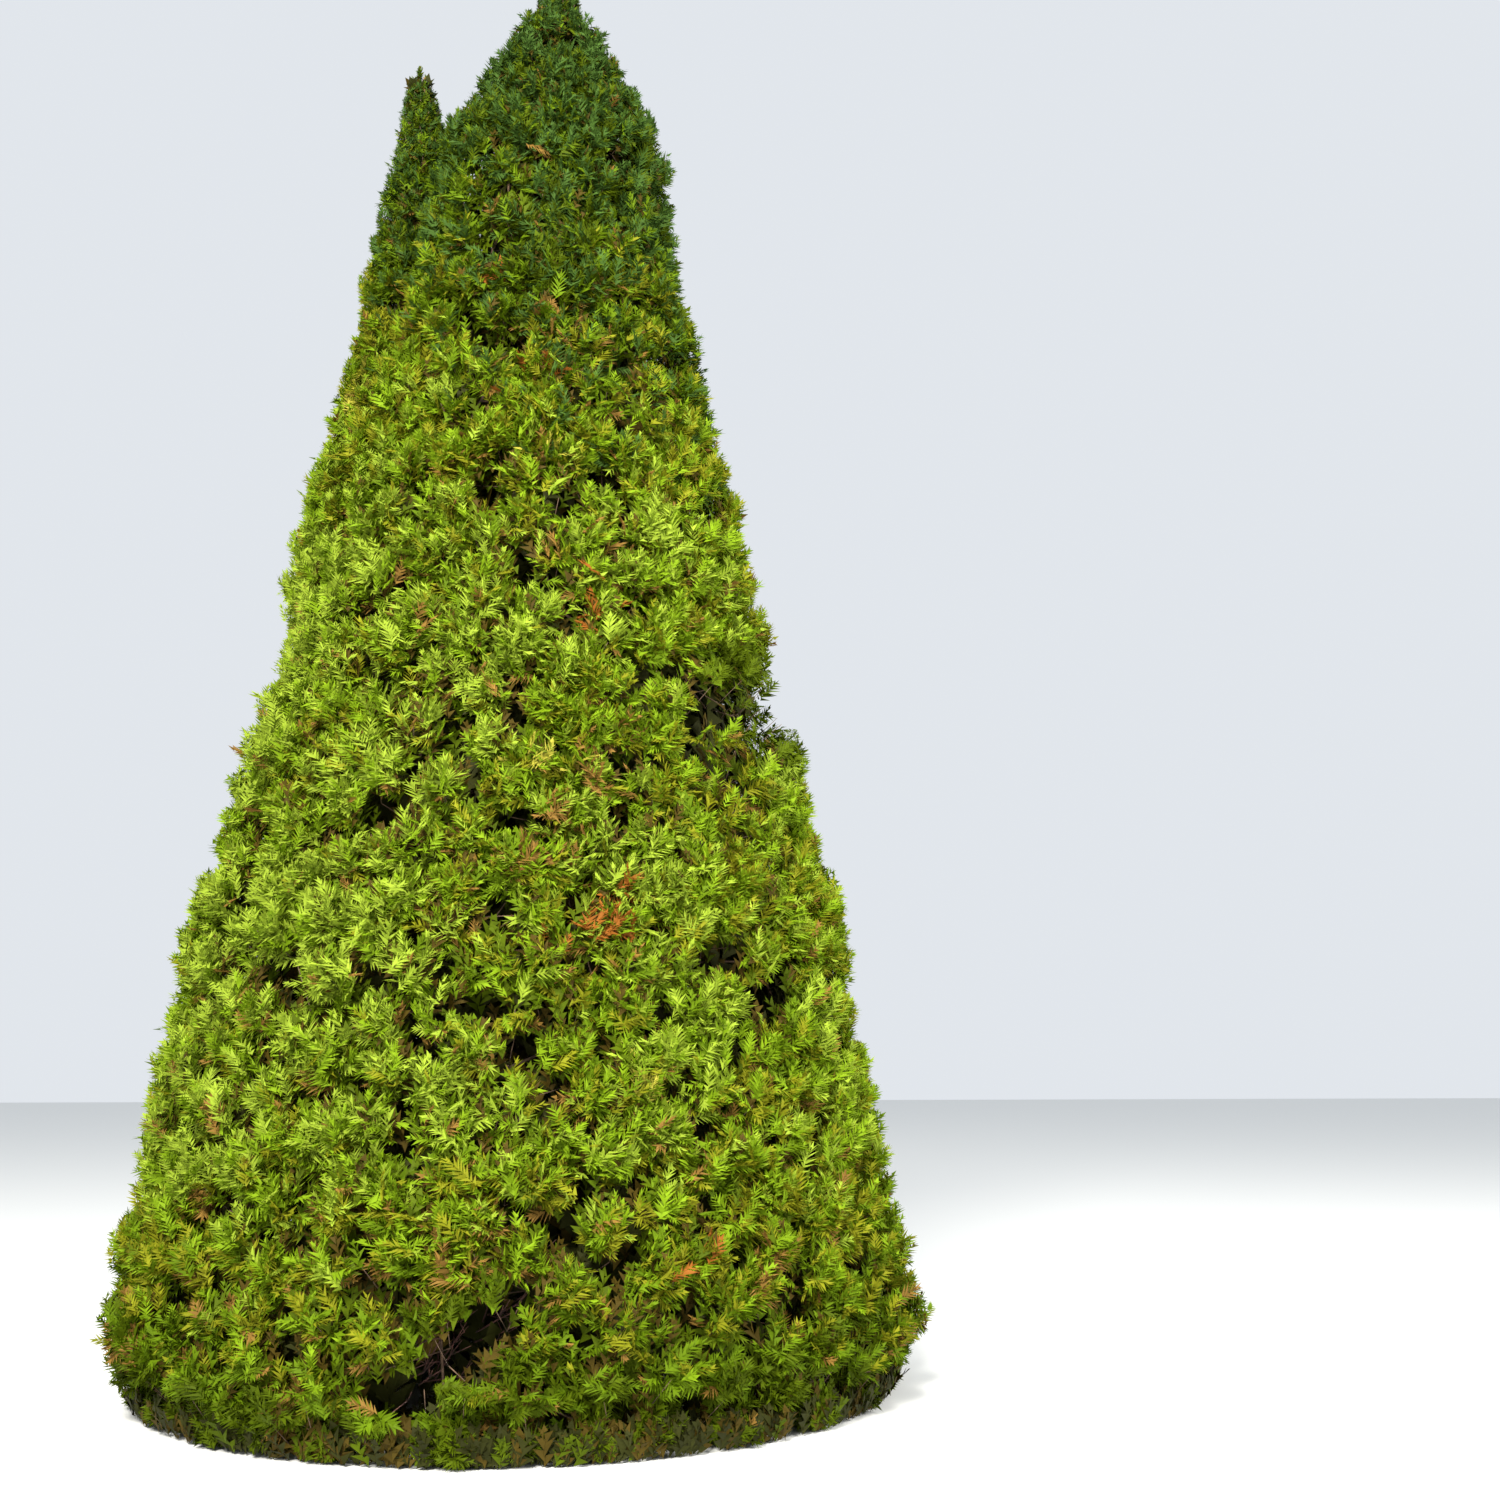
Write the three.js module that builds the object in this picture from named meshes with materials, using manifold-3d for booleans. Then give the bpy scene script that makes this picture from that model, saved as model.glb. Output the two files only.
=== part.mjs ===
import * as THREE from 'three'
import { mergeVertices } from 'three/addons/utils/BufferGeometryUtils.js'
import Module from 'manifold-3d'

const wasm = await Module()
wasm.setup()

// A dense conical evergreen with two leaders, rooted in level ground.
// Millimetres, +Z up, the origin at the centre of the flat cut under the trunk.

// Clearances
const SEAT_GAP = 0.3
const CELL_GAP = 12
const GROUND_GAP = 14
const LIMB_MARGIN = 25
const SLIVER = 0.06

// Crown outlines, as pairs of height and radius about each leader's axis
const CROWN_OUTLINE = [
  [0, 1880], [330, 2050], [1200, 1885], [2350, 1690], [3250, 1470], [4500, 1150], [5100, 985],
  [5700, 850], [6450, 705], [6720, 650], [6950, 525], [7180, 410], [7420, 300], [7550, 150], [8040, 12],
]
const LEADER_OUTLINE = [
  [3400, 960], [4100, 890], [4500, 785], [5200, 585], [5900, 385], [6400, 280], [6800, 170], [7120, 105],
  [7260, 55], [7350, 6],
]
const CORE_INSET = 95
const CORE_INSET_SHARE = 0.06
const CORE_INSET_LIMIT = 0.32
const CORE_DROP = 160
const CORE_ROUNDING = 24
const CORE_SEGMENTS = [2, 3, 3]
const TIP_CORE_SEGMENTS = [2, 2, 6]
const CORE_UNEVENNESS = 0.025
const CORE_WAVE = 9

// Trunk
const TRUNK_LENGTH = 6950
const TRUNK_RADIUS = 132
const TRUNK_TIP_RADIUS = 13
const TRUNK_LINE = [[0, 0, 0], [-45, 18, 1700], [-50, 26, 3100], [-10, 20, 4600], [20, 8, 6000], [28, 0, 6950]]
const FLARE_GROWTH = 0.5
const FLARE_HEIGHT = 150
const FLARE_LOBES = 4
const FLARE_LOBE_DEPTH = 0.3
const FLARE_TURN = 0.6
const TRUNK_TAPER = 0.92

// Second leader, which forks off the trunk and rises behind its left side
const LEADER_FORK_HEIGHT = 2050
const LEADER_LINE = [[-210, 66, 2450], [-450, 160, 3500], [-610, 225, 4800], [-690, 250, 6050]]
const LEADER_RADIUS = 60
const LEADER_TIP_RADIUS = 12
const LEADER_BEARING = 160

// Rings of foliage masses round the trunk. depth and inner are shares of the crown's radius, for a mass's
// centre and its innermost face. A ring beside the second leader leaves a place free at its bearing.
const RINGS = [
  { name: 'skirt', count: 7, height: 560, depth: 0.7, inner: 0.5, turn: -72.3, boughRadius: 46 },
  { name: 'lower', count: 7, height: 1720, depth: 0.7, inner: 0.5, turn: -98, boughRadius: 42 },
  { name: 'middle', count: 6, height: 2900, depth: 0.69, inner: 0.48, turn: -50, boughRadius: 36 },
  { name: 'upper', count: 5, height: 4020, depth: 0.65, inner: 0.4, besideLeader: true },
  { name: 'high', count: 4, height: 5080, depth: 0.56, inner: 0.22, besideLeader: true },
  { name: 'shoulder', count: 3, height: 6100, depth: 0.42, inner: 0.06, turn: 100 },
]
const HEIGHT_JITTER = 110
const TURN_JITTER = 9
const TOP_MASS_HEIGHT = 7060
const LEADER_MASSES = [
  { height: 4200, offset: 240, inner: -60 },
  { height: 5230, offset: 190, inner: -60 },
  { height: 6560, offset: 0, inner: null },
]

// Hollows that show as dark openings: a low one at the front, and one halfway up that runs round the right side
const HOLLOWS = [
  { at: [-250, -1760, 420], size: [290, 520, 210] },
  { at: [1270, -120, 3500], size: [230, 420, 120] },
  { at: [1010, -900, 3280], size: [300, 400, 120] },
]

// Boughs and stems
const BOUGH_RISE = 0.36
const BOUGH_SAG = 0.1
const BOUGH_TIP_SHARE = 0.45
const BOUGH_SINK = 90
const BOUGH_FOOT_STEEPNESS = 1.4
const LOWEST_BOUGH = 140
const STEM_RADIUS = 17
const STEM_DROP = 60
const STEM_SINK = 0.01
const STEM_FORKS = [0.6, 0.8, 1]
const TWIG_FORK = 0.6
const TWIG_SINK = 0.06
const TWIG_RADIUS = 9
const TWIG_TIP_RADIUS = 4

// Sprays: toothed blades, each larger than life
const SPRAY_SPACING = 455
const SPRAY_OUTLINE = [1, 0.6, 0.74, 0]
const SPRAY_STEP_ANGLE = 20
const TIP_STEP_ANGLE = 8
const SPRAY_SHARES = [1, 1, 1, 0.88, 0.88, 0.76, 0.76, 0.64]
const SPRAY_HALF_THICKNESS = 0.065
const SPRAY_SMALLEST = 0.5
const FULL_SPRAY_RADIUS = 1300
const SPRAY_SINK = 190
const SPRAY_REACH = 1.45
const SPRAY_LIFT = 0.95
const SPRAY_TIP_LIFT = 1.6
const SPRAY_SWAY = 0.45
const SPRAY_TURN = 0.9
const STEEP_RADIUS = 320
const ROOT_SHARE = 0.74
const SPRAY_CENTRE = 0.46
const SITE_DIRECTIONS = 420

const UP = new THREE.Vector3(0, 0, 1)
const BARK = new THREE.MeshStandardMaterial({ color: 0x6b4e3a, roughness: 0.95, metalness: 0 })
const FOLIAGE = new THREE.MeshStandardMaterial({ color: 0x5f8f1e, roughness: 0.8, metalness: 0 })

// Random numbers that come out the same on every run
function seededRandom(seed) {
  let state = seed >>> 0
  return function next() {
    state = (state + 0x6d2b79f5) >>> 0
    let mixed = Math.imul(state ^ (state >>> 15), state | 1)
    mixed ^= mixed + Math.imul(mixed ^ (mixed >>> 7), mixed | 61)
    return ((mixed ^ (mixed >>> 14)) >>> 0) / 4294967296
  }
}

function spread(random, size) {
  return (random() * 2 - 1) * size
}

function vector(values) {
  return new THREE.Vector3(...values)
}

function bearing(degrees) {
  const angle = THREE.MathUtils.degToRad(degrees)
  return new THREE.Vector3(Math.cos(angle), Math.sin(angle), 0)
}

// Radius of an outline at a height; above its top it is negative
function outlineRadius(outline, height) {
  const last = outline.length - 1
  if (height >= outline[last][0]) return outline[last][0] - height
  const upper = Math.max(1, outline.findIndex(([level]) => level > height))
  const [lowHeight, lowRadius] = outline[upper - 1]
  const [highHeight, highRadius] = outline[upper]
  const share = (height - lowHeight) / (highHeight - lowHeight)
  return THREE.MathUtils.lerp(lowRadius, highRadius, Math.max(0, share))
}

// A curve through points that is read by height
function lineAtHeight(points, height) {
  const last = points.length - 1
  const upper = Math.min(last, Math.max(1, points.findIndex((point) => point.z > height)))
  const top = height > points[last].z ? last : upper
  const low = points[top - 1]
  const high = points[top]
  return low.clone().lerp(high, (height - low.z) / (high.z - low.z))
}

const trunkPoints = TRUNK_LINE.map(vector)
const leaderFork = lineAtHeight(trunkPoints, LEADER_FORK_HEIGHT)
const leaderPoints = [leaderFork, ...LEADER_LINE.map(vector)]
const crowns = {
  main: { outline: CROWN_OUTLINE, points: trunkPoints },
  leader: { outline: LEADER_OUTLINE, points: leaderPoints },
}

// How deep under the crown's outline the cores lie where the crown has a radius
function coreInset(radius) {
  const inset = CORE_INSET + CORE_INSET_SHARE * radius
  return Math.max(0, Math.min(inset, CORE_INSET_LIMIT * radius))
}

// How far a point lies outside a crown's outline, or outside the surface of its cores
function overshoot(crown, point, cored) {
  const axis = lineAtHeight(crown.points, point.z)
  const away = Math.hypot(point.x - axis.x, point.y - axis.y)
  if (!cored) return away - outlineRadius(crown.outline, point.z)
  const radius = outlineRadius(crown.outline, point.z + CORE_DROP)
  return away - radius + coreInset(radius)
}

// Solids from geometries, and back
function solidOf(geometry) {
  const bare = geometry.clone()
  bare.deleteAttribute('normal')
  bare.deleteAttribute('uv')
  const merged = mergeVertices(bare, 1e-3)
  const mesh = new wasm.Mesh({
    numProp: 3,
    vertProperties: Float32Array.from(merged.attributes.position.array),
    triVerts: Uint32Array.from(merged.index.array),
  })
  return new wasm.Manifold(mesh)
}

function geometryOf(solid) {
  const mesh = solid.getMesh()
  const geometry = new THREE.BufferGeometry()
  geometry.setAttribute('position', new THREE.BufferAttribute(Float32Array.from(mesh.vertProperties), 3))
  geometry.setIndex(Array.from(mesh.triVerts))
  geometry.computeVertexNormals()
  return geometry
}

// The largest closed piece of a solid: loose scraps and sealed hollows go
function largestPiece(solid) {
  const pieces = solid.decompose()
  return pieces.reduce((best, piece) => (piece.volume() > best.volume() ? piece : best))
}

// Moves every vertex of a geometry to what a function makes of it
function reshape(geometry, place) {
  const position = geometry.attributes.position
  const vertex = new THREE.Vector3()
  for (let i = 0; i < position.count; i++) {
    vertex.fromBufferAttribute(position, i)
    const moved = place(vertex)
    position.setXYZ(i, moved.x, moved.y, moved.z)
  }
  return geometry
}

// A tapering limb along a curve: a cylinder bent onto it, grown all round by grow
function limbGeometry(limb, grow = 0) {
  const cylinder = new THREE.CylinderGeometry(1, 1, 1, limb.sides, limb.steps)
  return reshape(cylinder, (vertex) => {
    const along = limb.spacing ? (vertex.y + 0.5) ** limb.spacing : vertex.y + 0.5
    const tangent = limb.level ? UP : limb.curve.getTangent(along)
    const side = new THREE.Vector3().crossVectors(tangent, limb.reference).normalize()
    const third = new THREE.Vector3().crossVectors(side, tangent)
    const angle = Math.atan2(vertex.z, vertex.x)
    const radius = (limb.radiusAt(along, angle) + grow) * Math.hypot(vertex.x, vertex.z)
    const centre = limb.curve.getPoint(along)
    if (along === 0) centre.addScaledVector(tangent, -grow)
    if (along === 1) centre.addScaledVector(tangent, grow)
    return centre
      .addScaledVector(side, radius * Math.cos(angle))
      .addScaledVector(third, radius * Math.sin(angle))
  })
}

// The straight line between two points as a limb
function straightLimb(from, to, startRadius, endRadius, sides) {
  const heading = to.clone().sub(from).normalize()
  return {
    curve: new THREE.LineCurve3(from, to),
    sides,
    steps: 1,
    reference: Math.abs(heading.z) > 0.8 ? new THREE.Vector3(0, 1, 0) : UP,
    radiusAt: (along) => THREE.MathUtils.lerp(startRadius, endRadius, along),
  }
}

function makeTrunk() {
  const radiusAt = (along, angle) => {
    const height = along * TRUNK_LENGTH
    const fall = Math.exp(-height / FLARE_HEIGHT)
    const lobes = 1 + FLARE_LOBE_DEPTH * Math.cos(FLARE_LOBES * angle + FLARE_TURN)
    const taper = THREE.MathUtils.lerp(TRUNK_RADIUS, TRUNK_TIP_RADIUS, along ** TRUNK_TAPER)
    return taper * (1 + FLARE_GROWTH * fall * lobes)
  }
  return {
    curve: new THREE.CatmullRomCurve3(trunkPoints),
    sides: 16,
    steps: 11,
    spacing: 1.9,
    level: true,
    reference: new THREE.Vector3(0, 1, 0),
    radiusAt,
  }
}

function makeLeader() {
  return {
    curve: new THREE.CatmullRomCurve3(leaderPoints),
    sides: 8,
    steps: 6,
    reference: new THREE.Vector3(0, 1, 0),
    radiusAt: (along) => THREE.MathUtils.lerp(LEADER_RADIUS, LEADER_TIP_RADIUS, along),
  }
}

// One mass for each place of a ring, at its own height and bearing
function ringMasses(ring, random) {
  const masses = []
  for (let i = 0; i < ring.count; i++) {
    const turn = ring.besideLeader
      ? LEADER_BEARING + ((i + 1) * 360) / (ring.count + 1)
      : ring.turn + (i * 360) / ring.count
    const out = bearing(turn + spread(random, TURN_JITTER))
    const height = ring.height + spread(random, HEIGHT_JITTER)
    const reach = outlineRadius(CROWN_OUTLINE, height)
    const axis = lineAtHeight(trunkPoints, height)
    masses.push({
      name: `foliage_${ring.name}_${i + 1}`,
      crown: crowns.main,
      out,
      centre: axis.clone().addScaledVector(out, ring.depth * reach),
      inner: ring.inner * reach,
      axis,
      ring,
      label: `${ring.name}_${i + 1}`,
    })
  }
  return masses
}

function leaderMass(place, index) {
  const axis = lineAtHeight(leaderPoints, place.height)
  const out = bearing(LEADER_BEARING)
  return {
    name: `foliage_leader_${index + 1}`,
    crown: crowns.leader,
    out,
    centre: axis.clone().addScaledVector(out, place.offset),
    inner: place.inner,
    axis,
  }
}

function topMass() {
  const axis = lineAtHeight(trunkPoints, TOP_MASS_HEIGHT)
  return { name: 'foliage_top', crown: crowns.main, centre: axis, inner: null, axis }
}

// The planes that bound a mass's space: halfway to each other mass, off the ground and off the limb
function boundSpace(mass, masses) {
  const planes = [new THREE.Plane(UP.clone(), -GROUND_GAP)]
  for (const other of masses) {
    if (other === mass) continue
    const towards = mass.centre.clone().sub(other.centre).normalize()
    const middle = mass.centre.clone().add(other.centre).multiplyScalar(0.5)
    middle.addScaledVector(towards, CELL_GAP / 2)
    planes.push(new THREE.Plane().setFromNormalAndCoplanarPoint(towards, middle))
  }
  if (mass.inner !== null) {
    const onLimit = mass.axis.clone().addScaledVector(mass.out, mass.inner)
    planes.push(new THREE.Plane().setFromNormalAndCoplanarPoint(mass.out.clone(), onLimit))
  }
  mass.planes = planes
}

function insideSpace(mass, point) {
  return mass.planes.every((plane) => plane.distanceToPoint(point) > 0)
}

// Distance along a ray from a mass's centre to each plane that it meets
function planeDistances(mass, direction) {
  return mass.planes
    .map((plane) => [plane.distanceToPoint(mass.centre), -plane.normal.dot(direction)])
    .filter(([, closing]) => closing > 1e-6)
    .map(([distance, closing]) => distance / closing)
}

// Distance along a ray from a mass's centre to the crown's outline
function outlineDistance(mass, direction, cored) {
  let near = 0
  let far = 3000
  for (let i = 0; i < 40; i++) {
    const middle = (near + far) / 2
    const point = mass.centre.clone().addScaledVector(direction, middle)
    if (overshoot(mass.crown, point, cored) < 0) near = middle
    else far = middle
  }
  return near
}

// A smooth smallest value, never above the true one
function softMinimum(values, power) {
  const sum = values.reduce((total, value) => total + value ** -power, 0)
  return sum ** (-1 / power)
}

// The core's reach from the mass's centre: to its space's planes and to under the outline
function coreReach(mass, direction) {
  const limits = [...planeDistances(mass, direction), outlineDistance(mass, direction, true)]
  return softMinimum(limits, CORE_ROUNDING)
}

// The core: a box whose points look to the corners of the mass's space, drawn out to that reach
function coreSolid(mass) {
  const out = mass.out ?? new THREE.Vector3(1, 0, 0)
  const axes = [out, new THREE.Vector3().crossVectors(UP, out), UP]
  const segments = mass.inner === null ? TIP_CORE_SEGMENTS : CORE_SEGMENTS
  const box = new THREE.BoxGeometry(2, 2, 2, ...segments)
  const drawn = reshape(box, (vertex) => {
    const direction = new THREE.Vector3()
    vertex.toArray().forEach((share, i) => {
      const towards = axes[i].clone().multiplyScalar(Math.sign(share))
      if (share !== 0) direction.addScaledVector(towards, Math.abs(share) * coreReach(mass, towards))
    })
    direction.normalize()
    const wave = Math.sin(CORE_WAVE * direction.x + mass.centre.x) * Math.cos(CORE_WAVE * direction.z)
    const radius = coreReach(mass, direction) * (1 - CORE_UNEVENNESS * (1 + wave))
    return mass.centre.clone().addScaledVector(direction, radius)
  })
  return solidOf(drawn)
}

// Directions spread evenly over a ball, the first one straight up
function evenDirections(count) {
  const golden = Math.PI * (3 - Math.sqrt(5))
  return Array.from({ length: count }, (_, i) => {
    const lift = 1 - (2 * i) / count
    const level = Math.sqrt(1 - lift * lift)
    return new THREE.Vector3(level * Math.cos(i * golden), level * Math.sin(i * golden), lift)
  })
}

// The crown's tip, on the axis of its leader
function crownTip(crown) {
  return lineAtHeight(crown.points, crown.outline.at(-1)[0])
}

// Evenly spaced places on the crown's outline that a mass reaches, from the tip where the mass holds it
function spraySites(mass) {
  const open = mass.inner === null ? [crownTip(mass.crown)] : []
  for (const direction of evenDirections(SITE_DIRECTIONS)) {
    const reach = outlineDistance(mass, direction, false)
    if (reach < Math.min(...planeDistances(mass, direction))) {
      open.push(mass.centre.clone().addScaledVector(direction, reach))
    }
  }
  const chosen = [open[0]]
  const gaps = open.map((point) => point.distanceTo(open[0]))
  while (chosen.length < open.length) {
    const furthest = gaps.indexOf(Math.max(...gaps))
    if (gaps[furthest] < SPRAY_SPACING * sprayScale(mass, open[furthest])) break
    chosen.push(open[furthest])
    open.forEach((point, i) => {
      gaps[i] = Math.min(gaps[i], point.distanceTo(open[furthest]))
    })
  }
  return chosen
}

// Sprays are smaller where the crown is narrow
function sprayScale(mass, site) {
  const radius = Math.max(0, outlineRadius(mass.crown.outline, site.z))
  return THREE.MathUtils.lerp(SPRAY_SMALLEST, 1, Math.min(1, radius / FULL_SPRAY_RADIUS))
}

// A toothed blade between a root and a tip: a two-storey sphere with its equator drawn to the teeth,
// which stand one step of an angle apart
function sprayGeometry(root, tip, normal, stepAngle) {
  const length = tip.distanceTo(root)
  const along = tip.clone().sub(root).normalize()
  const across = new THREE.Vector3().crossVectors(normal, along).normalize()
  const up = new THREE.Vector3().crossVectors(across, along)
  const steps = SPRAY_OUTLINE.length - 1
  const sphere = new THREE.SphereGeometry(1, 2 * steps, 2)
  return reshape(sphere, (vertex) => {
    if (Math.abs(vertex.y) > 0.5) {
      return root.clone()
        .addScaledVector(along, SPRAY_CENTRE * length)
        .addScaledVector(up, Math.sign(vertex.y) * SPRAY_HALF_THICKNESS * length)
    }
    const turn = Math.atan2(vertex.z, vertex.x) / Math.PI
    const step = Math.round(Math.abs(turn) * steps)
    const reach = SPRAY_OUTLINE[step] * length
    const angle = THREE.MathUtils.degToRad(Math.sign(turn) * step * stepAngle)
    return root.clone()
      .addScaledVector(along, reach * Math.cos(angle))
      .addScaledVector(across, reach * Math.sin(angle))
  })
}

// The level way from a crown's axis to a site, not yet of length one
function outwardFrom(mass, site) {
  const axis = lineAtHeight(mass.crown.points, site.z)
  return new THREE.Vector3(site.x - axis.x, site.y - axis.y, 0)
}

// How steeply the foliage grows at a site: 0 on most of the crown, 1 at its tip
function steepness(mass, site) {
  return 1 - Math.min(1, outwardFrom(mass, site).length() / STEEP_RADIUS)
}

// The direction in which the foliage grows at a site: up and out, steeper near a tip of the crown
function growthHeading(mass, site, random) {
  const steep = steepness(mass, site)
  const out = outwardFrom(mass, site).normalize()
  const sideways = new THREE.Vector3().crossVectors(UP, out)
  const heading = out.clone().addScaledVector(UP, SPRAY_LIFT + SPRAY_TIP_LIFT * steep)
  return heading.addScaledVector(sideways, spread(random, SPRAY_SWAY)).normalize()
}

// A blade's normal: outward, turned at random, and square to its heading
function bladeNormal(mass, site, heading, random) {
  const normal = outwardFrom(mass, site).normalize()
  normal.add(vector([spread(random, SPRAY_TURN), spread(random, SPRAY_TURN), 0]))
  return normal.addScaledVector(heading, -normal.dot(heading)).normalize()
}

// A spray that ends on a site, turned and shortened until it fits; null where it would leave its space
function spraySolid(mass, site, random) {
  const heading = growthHeading(mass, site, random)
  const inset = coreInset(outlineRadius(mass.crown.outline, site.z))
  const length = SPRAY_SINK * sprayScale(mass, site) + SPRAY_REACH * inset
  const root = sinkRoot(mass, site.clone().addScaledVector(heading, -length))
  const stepAngle = THREE.MathUtils.lerp(SPRAY_STEP_ANGLE, TIP_STEP_ANGLE, steepness(mass, site))
  for (const share of SPRAY_SHARES) {
    const tip = root.clone().lerp(site, share)
    const geometry = sprayGeometry(root, tip, bladeNormal(mass, site, heading, random), stepAngle)
    if (verticesOf(geometry).every((point) => insideSpace(mass, point) && clearOfLimbs(point))) {
      return { solid: solidOf(geometry), root, tip }
    }
  }
  return null
}

// Moves a root that lies outside the core well into it
function sinkRoot(mass, root) {
  const direction = root.clone().sub(mass.centre)
  const distance = direction.length()
  direction.normalize()
  const deepest = ROOT_SHARE * coreReach(mass, direction)
  return mass.centre.clone().addScaledVector(direction, Math.min(distance, deepest))
}

function verticesOf(geometry) {
  const position = geometry.attributes.position
  const points = []
  for (let i = 0; i < position.count; i++) {
    points.push(new THREE.Vector3().fromBufferAttribute(position, i))
  }
  return points
}

function clearOfLimbs(point) {
  return limbs.every(({ samples }) => samples.every(({ at, radius }) => (
    at.distanceTo(point) > radius + LIMB_MARGIN
  )))
}

function sampleLimb(limb, count) {
  const samples = []
  for (let i = 0; i <= count; i++) {
    samples.push({ at: limb.curve.getPoint(i / count), radius: limb.radiusAt(i / count, 0) })
  }
  return samples
}

// Where a mass's stem starts: its bough's tip, or a place on the trunk or second leader
function stemStart(mass) {
  if (mass.bough) return mass.bough.curve.getPoint(1)
  if (mass.inner === null) return mass.crown.points[mass.crown.points.length - 1].clone()
  const rise = mass.centre.distanceTo(mass.axis) * BOUGH_RISE + STEM_DROP
  return lineAtHeight(mass.crown.points, mass.centre.z - rise)
}

// The stem runs to the mass's heart; twigs branch off its nearest point and end in the sprays
function twigSolids(mass, sprays) {
  const heart = mass.centre
  const start = stemStart(mass)
  start.lerp(heart, -STEM_SINK)
  const solids = [solidOf(limbGeometry(straightLimb(start, heart, STEM_RADIUS, TWIG_RADIUS, 3)))]
  const nodes = STEM_FORKS.map((share) => start.clone().lerp(heart, share))
  const ordered = [...sprays].sort((a, b) => a.root.distanceTo(heart) - b.root.distanceTo(heart))
  for (const spray of ordered) {
    const from = nodes.reduce((best, node) => (
      node.distanceTo(spray.root) < best.distanceTo(spray.root) ? node : best
    ))
    const to = spray.root.clone().lerp(spray.tip, TWIG_SINK)
    solids.push(solidOf(limbGeometry(straightLimb(from, to, TWIG_RADIUS, TWIG_TIP_RADIUS, 3))))
    nodes.push(from.clone().lerp(spray.root, TWIG_FORK))
  }
  return solids
}

// A bough from the trunk's axis to just inside its mass, cut off the trunk later
function makeBough(mass) {
  const reach = mass.centre.distanceTo(mass.axis)
  const tip = mass.axis.clone().addScaledVector(mass.out, mass.inner + BOUGH_SINK)
  tip.z = mass.centre.z - (reach - mass.inner) * BOUGH_RISE
  const fall = tip.distanceTo(mass.axis) * BOUGH_RISE * BOUGH_FOOT_STEEPNESS
  const foot = lineAtHeight(trunkPoints, Math.max(LOWEST_BOUGH, tip.z - fall))
  const middle = foot.clone().lerp(tip, 0.5)
  middle.z -= BOUGH_SAG * foot.distanceTo(tip)
  const { boughRadius } = mass.ring
  return {
    curve: new THREE.QuadraticBezierCurve3(foot, middle, tip),
    sides: 6,
    steps: 3,
    reference: UP,
    radiusAt: (along) => boughRadius * THREE.MathUtils.lerp(1, BOUGH_TIP_SHARE, along),
  }
}

function hollowSolid({ at, size }) {
  const ball = new THREE.SphereGeometry(1, 10, 6)
  return solidOf(reshape(ball, (vertex) => vector(at).add(vertex.multiply(vector(size)))))
}

function massSolid(mass, seed) {
  const random = seededRandom(seed)
  const core = coreSolid(mass)
  const sprays = spraySites(mass).map((site) => spraySolid(mass, site, random)).filter(Boolean)
  let solid = core
  for (const hollow of hollows) solid = solid.subtract(hollow)
  for (const spray of sprays) {
    if (hollows.every((hollow) => hollow.intersect(spray.solid).isEmpty())) solid = solid.add(spray.solid)
  }
  for (const twig of twigSolids(mass, sprays)) solid = solid.add(twig)
  for (const limb of limbs) solid = solid.subtract(limb.grown)
  return largestPiece(solid.simplify(SLIVER))
}

function addMesh(group, name, geometry, material) {
  const mesh = new THREE.Mesh(geometry, material)
  mesh.name = name
  group.add(mesh)
}

// Places of all the masses
const placing = seededRandom(17)
const masses = RINGS.flatMap((ring) => ringMasses(ring, placing))
masses.push(topMass())
masses.push(...LEADER_MASSES.map(leaderMass))
masses.forEach((mass) => boundSpace(mass, masses))

// Limbs, each kept with the grown copy that makes room for it in what surrounds it
const limbs = []
function addLimb(name, limb) {
  const grown = solidOf(limbGeometry(limb, SEAT_GAP))
  let solid = solidOf(limbGeometry(limb))
  for (const earlier of limbs) solid = solid.subtract(earlier.grown)
  limbs.push({ name, grown, solid: largestPiece(solid), samples: sampleLimb(limb, 24) })
}
addLimb('trunk', makeTrunk())
addLimb('second_leader', makeLeader())
for (const mass of masses) {
  if (!mass.ring?.boughRadius) continue
  mass.bough = makeBough(mass)
  addLimb(`bough_${mass.label}`, mass.bough)
}

const hollows = HOLLOWS.map(hollowSolid)
const tree = new THREE.Group()
const limbGroup = new THREE.Group()
const foliageGroup = new THREE.Group()
tree.add(limbGroup, foliageGroup)
for (const { name, solid } of limbs) addMesh(limbGroup, name, geometryOf(solid), BARK)
masses.forEach((mass, i) => addMesh(foliageGroup, mass.name, geometryOf(massSolid(mass, 101 + i)), FOLIAGE))

export default tree
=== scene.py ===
"""A dense conical evergreen with two leaders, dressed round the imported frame. Metres, +Z up."""
import math
from types import SimpleNamespace as Values

import bpy
import numpy as np
from numpy.linalg import norm
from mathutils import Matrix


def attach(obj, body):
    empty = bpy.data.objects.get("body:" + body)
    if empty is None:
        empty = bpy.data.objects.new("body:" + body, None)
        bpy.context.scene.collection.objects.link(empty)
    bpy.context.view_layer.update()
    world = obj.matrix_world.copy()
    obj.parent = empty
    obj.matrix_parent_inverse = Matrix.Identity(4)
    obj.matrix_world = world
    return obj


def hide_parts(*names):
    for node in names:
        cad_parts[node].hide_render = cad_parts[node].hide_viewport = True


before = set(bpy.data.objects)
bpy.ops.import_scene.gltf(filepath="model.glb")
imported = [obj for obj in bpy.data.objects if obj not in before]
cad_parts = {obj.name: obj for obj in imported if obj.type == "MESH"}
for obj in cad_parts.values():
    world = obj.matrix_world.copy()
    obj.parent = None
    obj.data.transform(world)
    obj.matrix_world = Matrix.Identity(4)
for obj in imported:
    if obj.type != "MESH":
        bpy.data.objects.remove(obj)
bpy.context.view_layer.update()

# Clearances of the source
CELL_GAP = 0.012
GROUND_GAP = 0.014

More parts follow.
